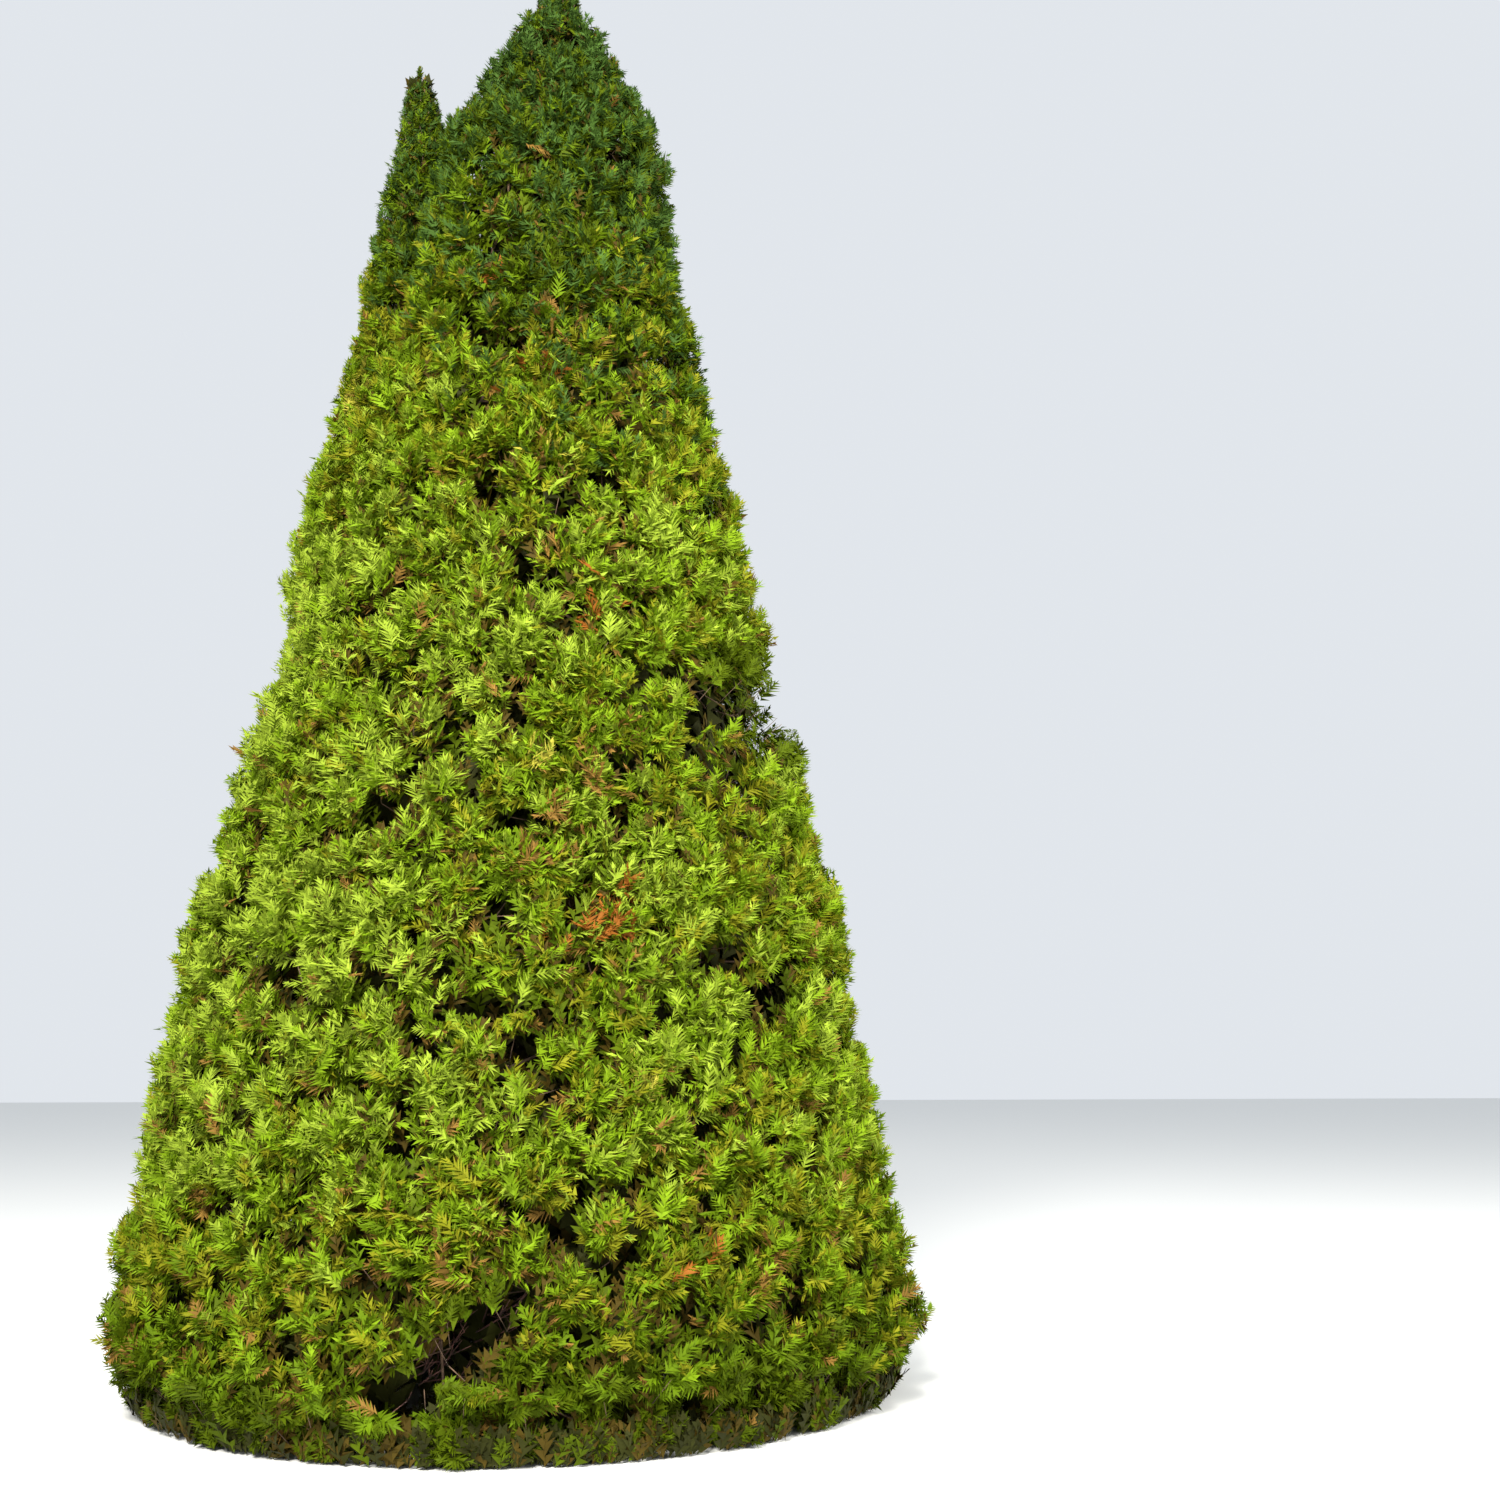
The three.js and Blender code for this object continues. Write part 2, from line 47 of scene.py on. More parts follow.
# Crown outlines of the source, as pairs of height and radius about each leader's axis
CROWN_OUTLINE = np.array([
    [0, 1.88], [0.33, 2.05], [1.2, 1.885], [2.35, 1.69], [3.25, 1.47], [4.5, 1.15], [5.1, 0.985],
    [5.7, 0.85], [6.45, 0.705], [6.72, 0.65], [6.95, 0.525], [7.18, 0.41], [7.42, 0.3], [7.55, 0.15],
    [8.04, 0.012],
])
LEADER_OUTLINE = np.array([
    [3.4, 0.96], [4.1, 0.89], [4.5, 0.785], [5.2, 0.585], [5.9, 0.385], [6.4, 0.28], [6.8, 0.17],
    [7.12, 0.105], [7.26, 0.055], [7.35, 0.006],
])

# Trunk and second leader of the source
TRUNK_LENGTH = 6.95
TRUNK_RADIUS = 0.132
TRUNK_TIP_RADIUS = 0.013
TRUNK_LINE = np.array([
    [0, 0, 0], [-0.045, 0.018, 1.7], [-0.05, 0.026, 3.1], [-0.01, 0.02, 4.6], [0.02, 0.008, 6],
    [0.028, 0, 6.95],
])
FLARE = Values(growth=0.5, height=0.15, lobes=4, lobe_depth=0.3, turn=0.6)
TRUNK_TAPER = 0.92
FORK_HEIGHT = 2.05
LEADER_LINE = [[-0.21, 0.066, 2.45], [-0.45, 0.16, 3.5], [-0.61, 0.225, 4.8], [-0.69, 0.25, 6.05]]
LEADER_LENGTH = 4.2
LEADER_RADIUS = 0.06
LEADER_TIP_RADIUS = 0.012
LEADER_BEARING = 160

# Rings of masses of the source: name, count, height, depth, inner, turn, bough radius.
# Where turn is None the ring leaves a place free at the second leader's bearing.
RINGS = [
    ("skirt", 7, 0.56, 0.7, 0.5, -72.3, 0.046),
    ("lower", 7, 1.72, 0.7, 0.5, -98, 0.042),
    ("middle", 6, 2.9, 0.69, 0.48, -50, 0.036),
    ("upper", 5, 4.02, 0.65, 0.4, None, None),
    ("high", 4, 5.08, 0.56, 0.22, None, None),
    ("shoulder", 3, 6.1, 0.42, 0.06, 100, None),
]
HEIGHT_JITTER = 0.11
TURN_JITTER = 9
TOP_MASS_HEIGHT = 7.06
LEADER_MASSES = [(4.2, 0.24, -0.06), (5.23, 0.19, -0.06), (6.56, 0, None)]
PLACING_SEED = 17
FIRST_MASS_SEED = 101

# Bark relief of the limbs, and its ridges: how many round a limb, their depth and their pace along it
TRUNK_BARK = Values(sides=60, steps=160, relief=0.055)
LEADER_BARK = Values(sides=28, steps=80, relief=0.06)
BOUGH_BARK = Values(sides=20, steps=26, relief=0.07)
BARK_RIDGES = ((9, 1.0, 2.3), (17, 0.7, 4.1), (31, 0.45, 7.7))

# Dark openings, within the source's hollows and a little beyond: centre and half size
LOW_OPENING = [
    ((-0.44, -1.82, 0.3), (0.16, 0.5, 0.12)),
    ((-0.28, -1.8, 0.44), (0.18, 0.55, 0.14)),
    ((-0.13, -1.78, 0.57), (0.17, 0.5, 0.1)),
]
OPENINGS = LOW_OPENING + [
    ((1.38, -0.2, 3.53), (0.32, 0.8, 0.25)),
    ((1.25, -0.68, 3.34), (0.34, 0.48, 0.22)),
    ((0.98, -1.03, 3.31), (0.33, 0.6, 0.16)),
]

# Places where all the foliage takes the dim class as painted shade: in and around the openings
PAINTED_SHADE_PLACES = LOW_OPENING + [((1.2, -0.5, 3.37), (0.52, 0.95, 0.29))]

# Boughs, stems and twigs of the source
BOUGH_RISE = 0.36
BOUGH_SAG = 0.1
BOUGH_TIP_SHARE = 0.45
BOUGH_SINK = 0.09
BOUGH_STEEPNESS = 1.4
LOWEST_BOUGH = 0.14
STEM_RADIUS = 0.017
STEM_DROP = 0.06
STEM_FORKS = [0.6, 0.8, 1]
TWIG_RADIUS = 0.009
TWIG_TIP_RADIUS = 0.004
TWIG_NODES = [0.35, 0.6, 0.85, 1]
FINE_TWIG = Values(radius=0.0035, fork_radius=0.0028, tip_radius=0.0012, end=0.7)
BARE_TWIG = Values(count=36, radius=0.005, fork_radius=0.0035, forks=3, length=0.26, depth=0.4, sway=0.6)
BARE_TWIG_WAYS = ((-0.3, -1.1, 0), (1, -0.3, 1))
BARE_TWIG_SPREAD = 0.7
LOWEST_BRANCH = 0.06
LOWEST_TWIG = 0.03
LOWEST_TWIG_TIP = 0.02

# Growth of the sprays in the source, and the finer plumes that take their place here
BRANCH_SPACING = 0.455
BRANCH_DIRECTIONS = 420
BRANCH_DEPTH = 0.42
SPRAY_LIFT = 0.95
SPRAY_TIP_LIFT = 1.6
SPRAY_SWAY = 0.45
SPRAY_SMALLEST = 0.5
FULL_SPRAY_RADIUS = 1.3
STEEP_RADIUS = 0.32
PLUME_DIRECTIONS = 3000
TIP_PLUME_DIRECTIONS = 16000
PLUME_SPACING = 0.2
PLUME_SMALLEST = 0.55
FULL_PLUME_RADIUS = 0.8
PLUME_SIZES = (0.8, 1.25)
PLUME_LENGTH = 0.25
PLUME_REACH = 0.132
PLUME_BULGE = 0.08
PLUME_OVERHANG = 0.06
PLUME_JITTER = 0.04
NARROW_RADIUS = 0.25
NARROWEST_SHARE = 0.5
HIDDEN_DEPTH = 0.14
VALLEY_REACH = 0.2
SEAM_REACH = 0.05
PLUME_TURN = 2.4
PLUME_TURN_JITTER = 0.5
COUNT_POWER = 0.8
LENGTH_POWER = 0.6
SPRAYS = 34
SPRAY_LENGTH = 0.12
SPRAY_SIZES = (0.8, 1.2)
SPRAY_INSET = 0.75
UNDER = Values(every=5, depth=0.04, jitter=0.012)

# How much of each way a spray's heading and its normal take
SPRAY_HEADING = Values(rise=0.45, face=0.5, spread=0.8, sideways=0.65, jitter=0.35)
SPRAY_NORMAL = Values(rise=0.6, face=0.55, spread=0.6, sideways=0.8)
COARSE = Values(face=0.15, sideways=0.8, jitter=0.5, sizes=(0.85, 1.15), inset=0.5, deepest=0.8)

# Lobes of a spray of length one: pointed ones in pairs along its axis and one at its end
PAIRED_SHARE = 0.9
LOBE = Values(stagger=0.25, length=0.46, angles=(60, 30), tilt=0.01, ragged=0.045, ragged_lift=1.6)
END_LOBE = (0.88, 1.12)
END_LOBE_WIDTH = 0.4
SPRAY_CURLS = (-0.4, 0.15)

# Coarse sprays behind the others, old inner foliage coloured dark as painted shade: how many on a plume,
# their length, depths and shares of LAYER_CLASSES
LAYERS = [
    Values(count=12, length=0.12, depths=(0.025, 0.085), shares=(0, 0.3, 0.4, 0.3)),
    Values(count=8, length=0.14, depths=(0.09, 0.2), shares=(0.25, 0.3, 0.45, 0)),
    Values(count=4, length=0.37, depths=(0.26, 0.5), shares=(0.9, 0.1, 0, 0)),
]
LAYER_CLASSES = ("dark", "shade", "dim", "deep")

# Depth of the foliage's surface under the crown's outline: long swells and a ragged share
SURFACE_DEPTH = -0.01
SWELL = Values(depth=0.025, size=1.0, bias=0.8)
RAGGED_DEPTH = 0.028
EVEN_RADIUS = 0.6
EVEN_SHARE = 0.1
OUTLINE_SLACK = 0.06
TIP_SLACK = 0.045
# Hem of coarse sprays round the crown's foot, dark as painted shadow: count, length, depths, lean, sway and
# shares of LAYER_CLASSES
HEM = Values(count=1700, length=0.13, depths=(0.03, 0.75), lean=0.3, sway=0.5, shares=(0.6, 0.25, 0.15, 0))
CLEARANCE = 0.006
MOST_LIFT = 0.12

# Notches that the photo shows in the crown's outline: centre, reach and depth
NOTCHES = [
    ((0.27, 0, 7.42), 0.14, 0.25), ((-0.21, 0, 7.42), 0.14, 0.2), ((0.75, 0, 6.3), 0.13, 0.1),
    ((0.84, 0, 5.92), 0.15, 0.08), ((1.05, -0.2, 4.84), 0.13, 0.2), ((1.35, -0.05, 3.6), 0.16, 0.22),
    ((-1.12, 0.15, 5.62), 0.15, 0.26), ((-1.4, 0.1, 3.8), 0.14, 0.16), ((-1.36, -0.4, 3.57), 0.13, 0.16),
    ((-1.6, 0, 2.9), 0.2, 0.05), ((-1.96, 0, 0.94), 0.2, 0.09), ((-2.0, 0, 0.15), 0.35, 0.09),
]
NOTCHES_ROUND = 46
NOTCH_REACH = (0.1, 0.19)
NOTCH_DEPTH = (0.04, 0.1)

# Clefts, flat dark gaps between the clumps: x, z, half width and half height on the front
CLEFTS = [
    (0.07, 2.89, 0.11, 0.04), (0.54, 2.55, 0.09, 0.045), (0.98, 2.48, 0.13, 0.05),
    (0.82, 1.98, 0.12, 0.035), (1.18, 2.13, 0.09, 0.035), (1.16, 1.5, 0.1, 0.035), (1.49, 0.79, 0.12, 0.04),
    (1.07, 0.1, 0.12, 0.06), (0.4, 0.51, 0.12, 0.035), (-0.75, 3.1, 0.08, 0.03), (-0.62, 2.2, 0.09, 0.03),
]
CLEFTS_ROUND = 24
CLEFT_SHARE = 0.55
CLEFT_WIDTH = (0.08, 0.13)
CLEFT_FLATNESS = (0.25, 0.5)

# Gaps, clefts that show the inside: x, z, half width and half height on the front
GAPS = [
    (-0.3, 1.85, 0.14, 0.07), (-0.12, 1.82, 0.17, 0.08), (0.08, 1.79, 0.14, 0.07),
    (0.11, 4.28, 0.14, 0.09),
]
GAP_DEPTH = 0.22

# Patches of old foliage that has turned, on the front: x, z, reach and kind
TINTS = [
    (-0.3, 5.62, 0.1, "rust"), (0.1, 5.3, 0.12, "brown"), (-0.07, 4.96, 0.1, "rust"),
    (0.39, 4.05, 0.1, "brown"), (0.29, 3.71, 0.1, "rust"), (0.08, 4.58, 0.1, "gold"),
    (0.07, 2.95, 0.12, "gold"), (0.36, 2.9, 0.13, "brown"), (0.32, 2.31, 0.11, "rust"),
    (0.27, 2.1, 0.12, "rust"), (0.06, 2.6, 0.16, "brown"), (1.1, 1.76, 0.08, "rust"),
    (-1.39, 1.29, 0.1, "brown"), (0.02, 1.01, 0.08, "rust"), (-0.64, 0.93, 0.08, "brown"),
    (0.79, 0.69, 0.09, "rust"), (1.05, 0.69, 0.1, "brown"), (-1.78, 0.33, 0.12, "brown"),
    (0.77, 0.24, 0.09, "gold"), (-0.2, 0.66, 0.14, "brown"), (0.55, 1.45, 0.08, "gold"),
]
TINTS_ROUND = 36
TINT_REACH = (0.07, 0.15)
TINT_KINDS = ["rust", "brown", "brown", "gold"]

# Colours of the foliage's classes. Bright, green, olive, deep and dim are dealt out by how light a spray
# is, which is partly its own tone and partly painted light: bright is partly painted highlight, deep and
# dim partly painted shade. Cool is painted bluish shade toward the top. Dark, shade, dim and deep also
# colour the coarse inner sprays and the hem, as painted shade on old inner foliage; dim is also painted
# shade in the openings.
# Gold, rust and brown are turned foliage.
FOLIAGE_COLOURS = {
    "bright": (0.195, 0.27, 0.020),
    "green": (0.13, 0.21, 0.005),
    "olive": (0.15, 0.158, 0.006),
    "deep": (0.075, 0.125, 0.002),
    "cool": (0.038, 0.078, 0.012),
    "dim": (0.05, 0.075, 0.001),
    "shade": (0.048, 0.033, 0.004),
    "dark": (0.021, 0.023, 0.004),
    "gold": (0.28, 0.26, 0.03),
    "rust": (0.19, 0.066, 0.009),
    "brown": (0.16, 0.09, 0.018),
}
CLASS = {name: number for number, name in enumerate(FOLIAGE_COLOURS)}

# How light a spray is by its place on its plume, as painted light: lighter toward the plume's top, darker
# toward its rim, painted shade on the sprays below and where the surface lies deeper; and its own tone by
# chance and
# blotches: size, strength and seed
PAINTED_PLUME_LIGHT = Values(middle=0.82, reach=0.2, height=0.32, below=0.55, even=0.5, weight=0.7)
RECESS_SHADE_WEIGHT = 3
EVEN_DEPTH = 0.05
BLOTCHES = ((0.9, 0.15, 5), (0.12, 0.14, 6))
SPECKLE = 0.3

# Painted shade by height, darker toward the top and toward the foot: by how much, from where and over what
# reach, up or down
PAINTED_HEIGHT_SHADES = ((1.8, 4.3, 2.6), (1.2, 1.2, -1.2), (1.2, 0.3, -0.3))
# Painted shade on the right side, at the left foot and down the middle of the upper crown
PAINTED_SHADE = Values(right=0.22, left_foot=0.6, middle=0.4, width=0.35, left_edge=-0.6)
FOOT_HEIGHT = 1.3
TOP_HEIGHT = 4.3

# Classes by how light a spray is, the cool class, a bluer green put on as painted shade toward the top, and
# the old brown foliage
BRIGHT_ABOVE = 0.3
DARKER_BELOW = (("olive", -0.15), ("deep", -0.55), ("dim", -1.1))
COOL_SHADE = Values(top=0.85, reach=2.8, left=0.3, below=0.35)
BROWN = Values(least=0.02, more=0.12, size=0.5, light=0.6, height=7, reach=1.5, top=0.2)

# How many masses have their inner foliage in the low piece
LOW_MASSES = 12

# Floor and camera, which stands as the photo's did
FLOOR_REACH = 60
EYE_HEIGHT = 1.6
DISTANCE = 9.05
PITCH = 10.33
YAW = 7.28

UP = np.array([0.0, 0.0, 1.0])
AWAY = np.array([0.0, 1.0, 0.0])
WHOLE = 0xFFFFFFFF
SEED_STEP = 0x6D2B79F5
WAVE_PACES = (0.7, 1.4)


# Random numbers of the source
def seeded_random(seed):
    state = seed

    def next_value():
        nonlocal state
        state = (state + SEED_STEP) & WHOLE
        mixed = ((state ^ (state >> 15)) * (state | 1)) & WHOLE
        mixed ^= (mixed + (mixed ^ (mixed >> 7)) * (mixed | 61)) & WHOLE
        return (mixed ^ (mixed >> 14)) / (WHOLE + 1)

    return next_value


def spread(random, size):
    return (random() * 2 - 1) * size


def bearing(degrees):
    angle = math.radians(degrees)
    return np.array([math.cos(angle), math.sin(angle), 0.0])


def unit(vectors):
    return vectors / norm(vectors, axis=-1, keepdims=True)


def square_to(vectors, axes):
    """The vectors made square to the axes and of length one."""
    return unit(vectors - axes * np.sum(vectors * axes, axis=-1, keepdims=True))


def lerp(low, high, share):
    return low + (high - low) * share


def share_past(values, start, reach):
    """How far values have come past a start over a reach, up or down, from 0 to 1."""
    return np.clip((values - start) / reach, 0, 1)


def swing(rng, size, shape):
    return rng.uniform(-size, size, shape)


def waves(points, wavelength, seed, count=14):
    """A smooth random field over points, mostly between -1 and 1."""
    rng = np.random.default_rng(seed)
    ways = unit(rng.normal(size=(count, 3))) * (math.tau / wavelength)
    ways *= rng.uniform(*WAVE_PACES, (count, 1))
    phases = rng.uniform(0, math.tau, count)
    return np.cos(points @ ways.T + phases).sum(axis=-1) * math.sqrt(2 / count)


def ragged_edge(points, share, wavelength, seed):
    return 1 + share * waves(points, wavelength, seed)[:, None]


# Crown
def outline_radius(outline, height):
    top = outline[-1, 0]
    return np.where(height >= top, top - height, np.interp(height, outline[:, 0], outline[:, 1]))


def drawn_out(points):
    """A line with its two ends carried on, so that it can be read at any height."""
    first = points[0] - (points[1] - points[0]) * 2
    last = points[-1] + (points[-1] - points[-2]) * 3
    return np.vstack([first, points, last])


def line_at(points, height):
    """The point of a line at each height."""
    long = drawn_out(points)
    columns = [np.interp(height, long[:, 2], long[:, i]) for i in (0, 1)]
    return np.stack([*columns, np.asarray(height, float)], axis=-1)


leader_line = np.vstack([line_at(TRUNK_LINE, FORK_HEIGHT), LEADER_LINE])
MAIN_CROWN = Values(outline=CROWN_OUTLINE, line=TRUNK_LINE)
LEADER_CROWN = Values(outline=LEADER_OUTLINE, line=leader_line)


def overshoot(crown, points):
    """How far points lie outside a crown's outline."""
    away = points[..., :2] - line_at(crown.line, points[..., 2])[..., :2]
    return norm(away, axis=-1) - outline_radius(crown.outline, points[..., 2])


def new_mass(part, label, crown, out, axis, centre, inner, bough_radius=None):
    return Values(
        name=f"foliage_{label}", part=part, label=label, crown=crown, out=out, axis=axis, centre=centre,
        inner=inner, bough_radius=bough_radius,
    )


def ring_masses(ring, random):
    name, count, ring_height, depth, inner, turn, bough_radius = ring
    masses = []
    for i in range(count):
        if turn is None:
            angle = LEADER_BEARING + (i + 1) * 360 / (count + 1)
        else:
            angle = turn + i * 360 / count
        out = bearing(angle + spread(random, TURN_JITTER))
        height = ring_height + spread(random, HEIGHT_JITTER)
        reach = float(outline_radius(CROWN_OUTLINE, height))
        axis = line_at(TRUNK_LINE, height)
        centre = axis + out * depth * reach
        label = f"{name}_{i + 1}"
        masses.append(new_mass(name, label, MAIN_CROWN, out, axis, centre, inner * reach, bough_radius))
    return masses


def leader_mass(index, place):
    height, offset, inner = place
    axis = line_at(leader_line, height)
    out = bearing(LEADER_BEARING)
    return new_mass("leader", f"leader_{index + 1}", LEADER_CROWN, out, axis, axis + out * offset, inner)


def top_mass():
    axis = line_at(TRUNK_LINE, TOP_MASS_HEIGHT)
    return new_mass("top", "top", MAIN_CROWN, bearing(0), axis, axis, None)


def bound_space(mass, masses):
    """The planes that bound a mass's space, and how far its foliage may reach over each."""
    planes = [(UP, UP * GROUND_GAP, 0)]
    for other in masses:
        if other is mass:
            continue
        towards = unit(mass.centre - other.centre)
        middle = (mass.centre + other.centre) / 2 + towards * CELL_GAP / 2
        planes.append((towards, middle, SEAM_REACH if other.crown is mass.crown else VALLEY_REACH))
    if mass.inner is not None:
        planes.append((mass.out, mass.axis + mass.out * mass.inner, 0))
    mass.normals = np.array([normal for normal, _, _ in planes])
    mass.offsets = np.array([-normal @ point for normal, point, _ in planes])
    mass.slack = np.array([slack for _, _, slack in planes])


def plane_distance(mass, directions, slack=0):
    """Distance from the mass's centre to the first plane of its space along each direction."""
    closing = -directions @ mass.normals.T
    distance = mass.normals @ mass.centre + mass.offsets + slack
    with np.errstate(divide="ignore"):
        reach = np.where(closing > 1e-6, distance / closing, np.inf)
    return reach.min(axis=1)


def outline_distance(mass, directions, furthest=3.0, halvings=40):
    """Distance from the mass's centre to the crown's outline along each direction."""
    near = np.zeros(len(directions))
    far = np.full(len(directions), furthest)
    for _ in range(halvings):
        middle = (near + far) / 2
        inside = overshoot(mass.crown, mass.centre + directions * middle[:, None]) < 0
        near = np.where(inside, middle, near)
        far = np.where(inside, far, middle)
    return near


def even_directions(count):
    """Directions spread evenly over a ball, the first one straight up."""
    steps = np.arange(count)
    lift = 1 - 2 * steps / count
    level = np.sqrt(1 - lift * lift)
    turn = steps * math.pi * (3 - math.sqrt(5))
    return np.stack([level * np.cos(turn), level * np.sin(turn), lift], axis=1)


def crown_radius(mass, points):
    return outline_radius(mass.crown.outline, points[:, 2])


def growth_scale(mass, points):
    """Sprays are smaller where the crown is narrow."""
    radius = np.maximum(0, crown_radius(mass, points))
    return lerp(SPRAY_SMALLEST, 1, np.minimum(1, radius / FULL_SPRAY_RADIUS))


def plume_scale(mass, points):
    """Plumes are smaller where the crown is narrow, and most of all at its tips."""
    radius = np.maximum(0, crown_radius(mass, points))
    narrowing = np.clip(radius / NARROW_RADIUS, NARROWEST_SHARE, 1)
    return lerp(PLUME_SMALLEST, 1, np.minimum(1, radius / FULL_PLUME_RADIUS)) * narrowing


def reached_points(mass, count, slack=0):
    """Points of the crown's outline that a mass reaches, from the tip where the mass holds it."""
    directions = even_directions(count)
    reach = outline_distance(mass, directions)
    open_way = reach < plane_distance(mass, directions, slack)
    points = mass.centre + directions[open_way] * reach[open_way, None]
    if mass.inner is None:
        return np.vstack([line_at(mass.crown.line, mass.crown.outline[-1, 0]), points])
    return points


def spaced_out(points, limits, weights=1.0):
    """Points picked one by one, each the furthest by weight from those before, until the limits are met."""
    chosen = [0]
    gaps = norm(points - points[0], axis=1)
    while len(chosen) < len(points):
        furthest = int(np.argmax(gaps * weights))
        if gaps[furthest] < limits[furthest]:
            break
        chosen.append(furthest)
        gaps = np.minimum(gaps, norm(points - points[furthest], axis=1))
    return points[chosen]


def growth_sites(mass):
    """The source's places on the crown's outline, where a mass's first twigs end."""
    points = reached_points(mass, BRANCH_DIRECTIONS)
    return spaced_out(points, BRANCH_SPACING * growth_scale(mass, points))


def plume_sites(mass):
    """Places for plumes on the crown's outline, closer together where the plumes are smaller."""
    count = TIP_PLUME_DIRECTIONS if mass.inner is None else PLUME_DIRECTIONS
    points = reached_points(mass, count, mass.slack)
    limits = PLUME_SPACING * plume_scale(mass, points)
    return spaced_out(points, limits, 1 / limits)


def outline_slope(outline, heights, step=0.1, slopes=(-1.5, 0.3)):
    """How an outline's radius changes with height, without its steepest ends."""
    change = outline_radius(outline, heights + step) - outline_radius(outline, heights - step)
    return np.clip(change / (2 * step), *slopes)


def on_surface(x, z):
    """The point of the main crown's outline at x and z, on the front."""
    axis = line_at(TRUNK_LINE, z)
    radius = float(outline_radius(CROWN_OUTLINE, z))
    across = x - axis[0]
    return np.array([x, axis[1] - math.sqrt(max(0.0, radius ** 2 - across ** 2)), z])


def scattered(count, seed, lowest=0.15, rise=7, turns=(-15, 195)):
    """Places spread at random over the sides and back of the main crown's outline."""
    rng = np.random.default_rng(seed)
    heights = lowest + rise * (1 - np.sqrt(rng.random(count)))
    turns = np.radians(rng.uniform(*turns, count))
    radius = outline_radius(CROWN_OUTLINE, heights)
    axis = line_at(TRUNK_LINE, heights)
    return axis + np.stack([radius * np.cos(turns), radius * np.sin(turns), 0 * turns], axis=1)


def all_notches():
    """The named notches of the outline, and others like them all round."""
    rng = np.random.default_rng(NOTCHES_ROUND)
    places = scattered(NOTCHES_ROUND, seed=31)
    reaches = rng.uniform(*NOTCH_REACH, NOTCHES_ROUND)
    depths = rng.uniform(*NOTCH_DEPTH, NOTCHES_ROUND)
    named = [(np.array(place), reach, depth) for place, reach, depth in NOTCHES]
    return named + list(zip(places, reaches, depths))


def all_clefts():
    """The named clefts and others like them all round, as ellipsoids."""
    rng = np.random.default_rng(CLEFTS_ROUND)
    clefts = [(on_surface(x, z), (wide, wide * CLEFT_SHARE, high)) for x, z, wide, high in CLEFTS]
    for place in scattered(CLEFTS_ROUND, seed=37):
        wide = rng.uniform(*CLEFT_WIDTH) * CLEFT_SHARE
        clefts.append((place, (wide, wide, wide * rng.uniform(*CLEFT_FLATNESS))))
    return clefts


def all_tints():
    """The named patches of turned foliage, and others like them all round."""
    rng = np.random.default_rng(TINTS_ROUND)
    tints = [(on_surface(x, z), reach, kind) for x, z, reach, kind in TINTS]
    for place in scattered(TINTS_ROUND, seed=41):
        tints.append((place, rng.uniform(*TINT_REACH), rng.choice(TINT_KINDS)))
    return tints


openings = OPENINGS + [(on_surface(x, z), (wide, GAP_DEPTH, high)) for x, z, wide, high in GAPS]
notches = all_notches()
clefts = all_clefts()
tints = all_tints()


def surface_depth(points):
    """How far the foliage's surface lies under the crown's outline."""
    swell = SWELL.bias + waves(points, SWELL.size, seed=4)
    depth = SURFACE_DEPTH + SWELL.depth * np.clip(swell, 0, None)
    for place, reach, notch in notches:
        gap = norm(points - place, axis=-1)
        depth += notch * np.exp(-((gap / reach) ** 2))
    return depth


def outward(mass, sites):
    """The way from the crown's axis to each site, and how far it is."""
    away = sites - line_at(mass.crown.line, sites[:, 2])
    length = norm(away, axis=1)
    return away / np.maximum(length, 1e-6)[:, None], length


def growth_headings(mass, sites, rng):
    """The way that foliage grows at each site: up and out, steeper near a tip of the crown."""
    out, length = outward(mass, sites)
    steep = 1 - np.minimum(1, length / STEEP_RADIUS)
    sideways = np.cross(UP, out)
    sway = swing(rng, SPRAY_SWAY, (len(sites), 1))
    return unit(out + UP * (SPRAY_LIFT + SPRAY_TIP_LIFT * steep)[:, None] + sideways * sway)


def in_hollow(points, hollows, grow=1.0):
    """Whether points lie in any of the ellipsoids, grown by a number or one for each point."""
    inside = np.zeros(points.shape[:-1], bool)
    for centre, size in hollows:
        share = (points - np.array(centre)) / (np.array(size) * grow)
        inside |= np.sum(share * share, axis=-1) < 1
    return inside


# Places of all the masses
placing = seeded_random(PLACING_SEED)
masses = [mass for ring in RINGS for mass in ring_masses(ring, placing)]
masses.append(top_mass())
masses += [leader_mass(index, place) for index, place in enumerate(LEADER_MASSES)]
for mass in masses:
    bound_space(mass, masses)


# Limbs
def catmull_rom(points, share):
    """A point of the source's curve through points, at a share of its length."""
    last = len(points) - 1
    place = last * share
    index = min(int(place), last - 1)
    weight = place - index
    long = np.vstack([2 * points[0] - points[1], points, 2 * points[-1] - points[-2]])
    p0, p1, p2, p3 = long[index:index + 4]
    d0, d1, d2 = (math.sqrt(norm(b - a)) for a, b in ((p0, p1), (p1, p2), (p2, p3)))
    start = ((p1 - p0) / d0 - (p2 - p0) / (d0 + d1) + (p2 - p1) / d1) * d1
    end = ((p2 - p1) / d1 - (p3 - p1) / (d1 + d2) + (p3 - p2) / d2) * d1
    square = 3 * (p2 - p1) - 2 * start - end
    cube = 2 * (p1 - p2) + start + end
    return p1 + weight * (start + weight * (square + weight * cube))


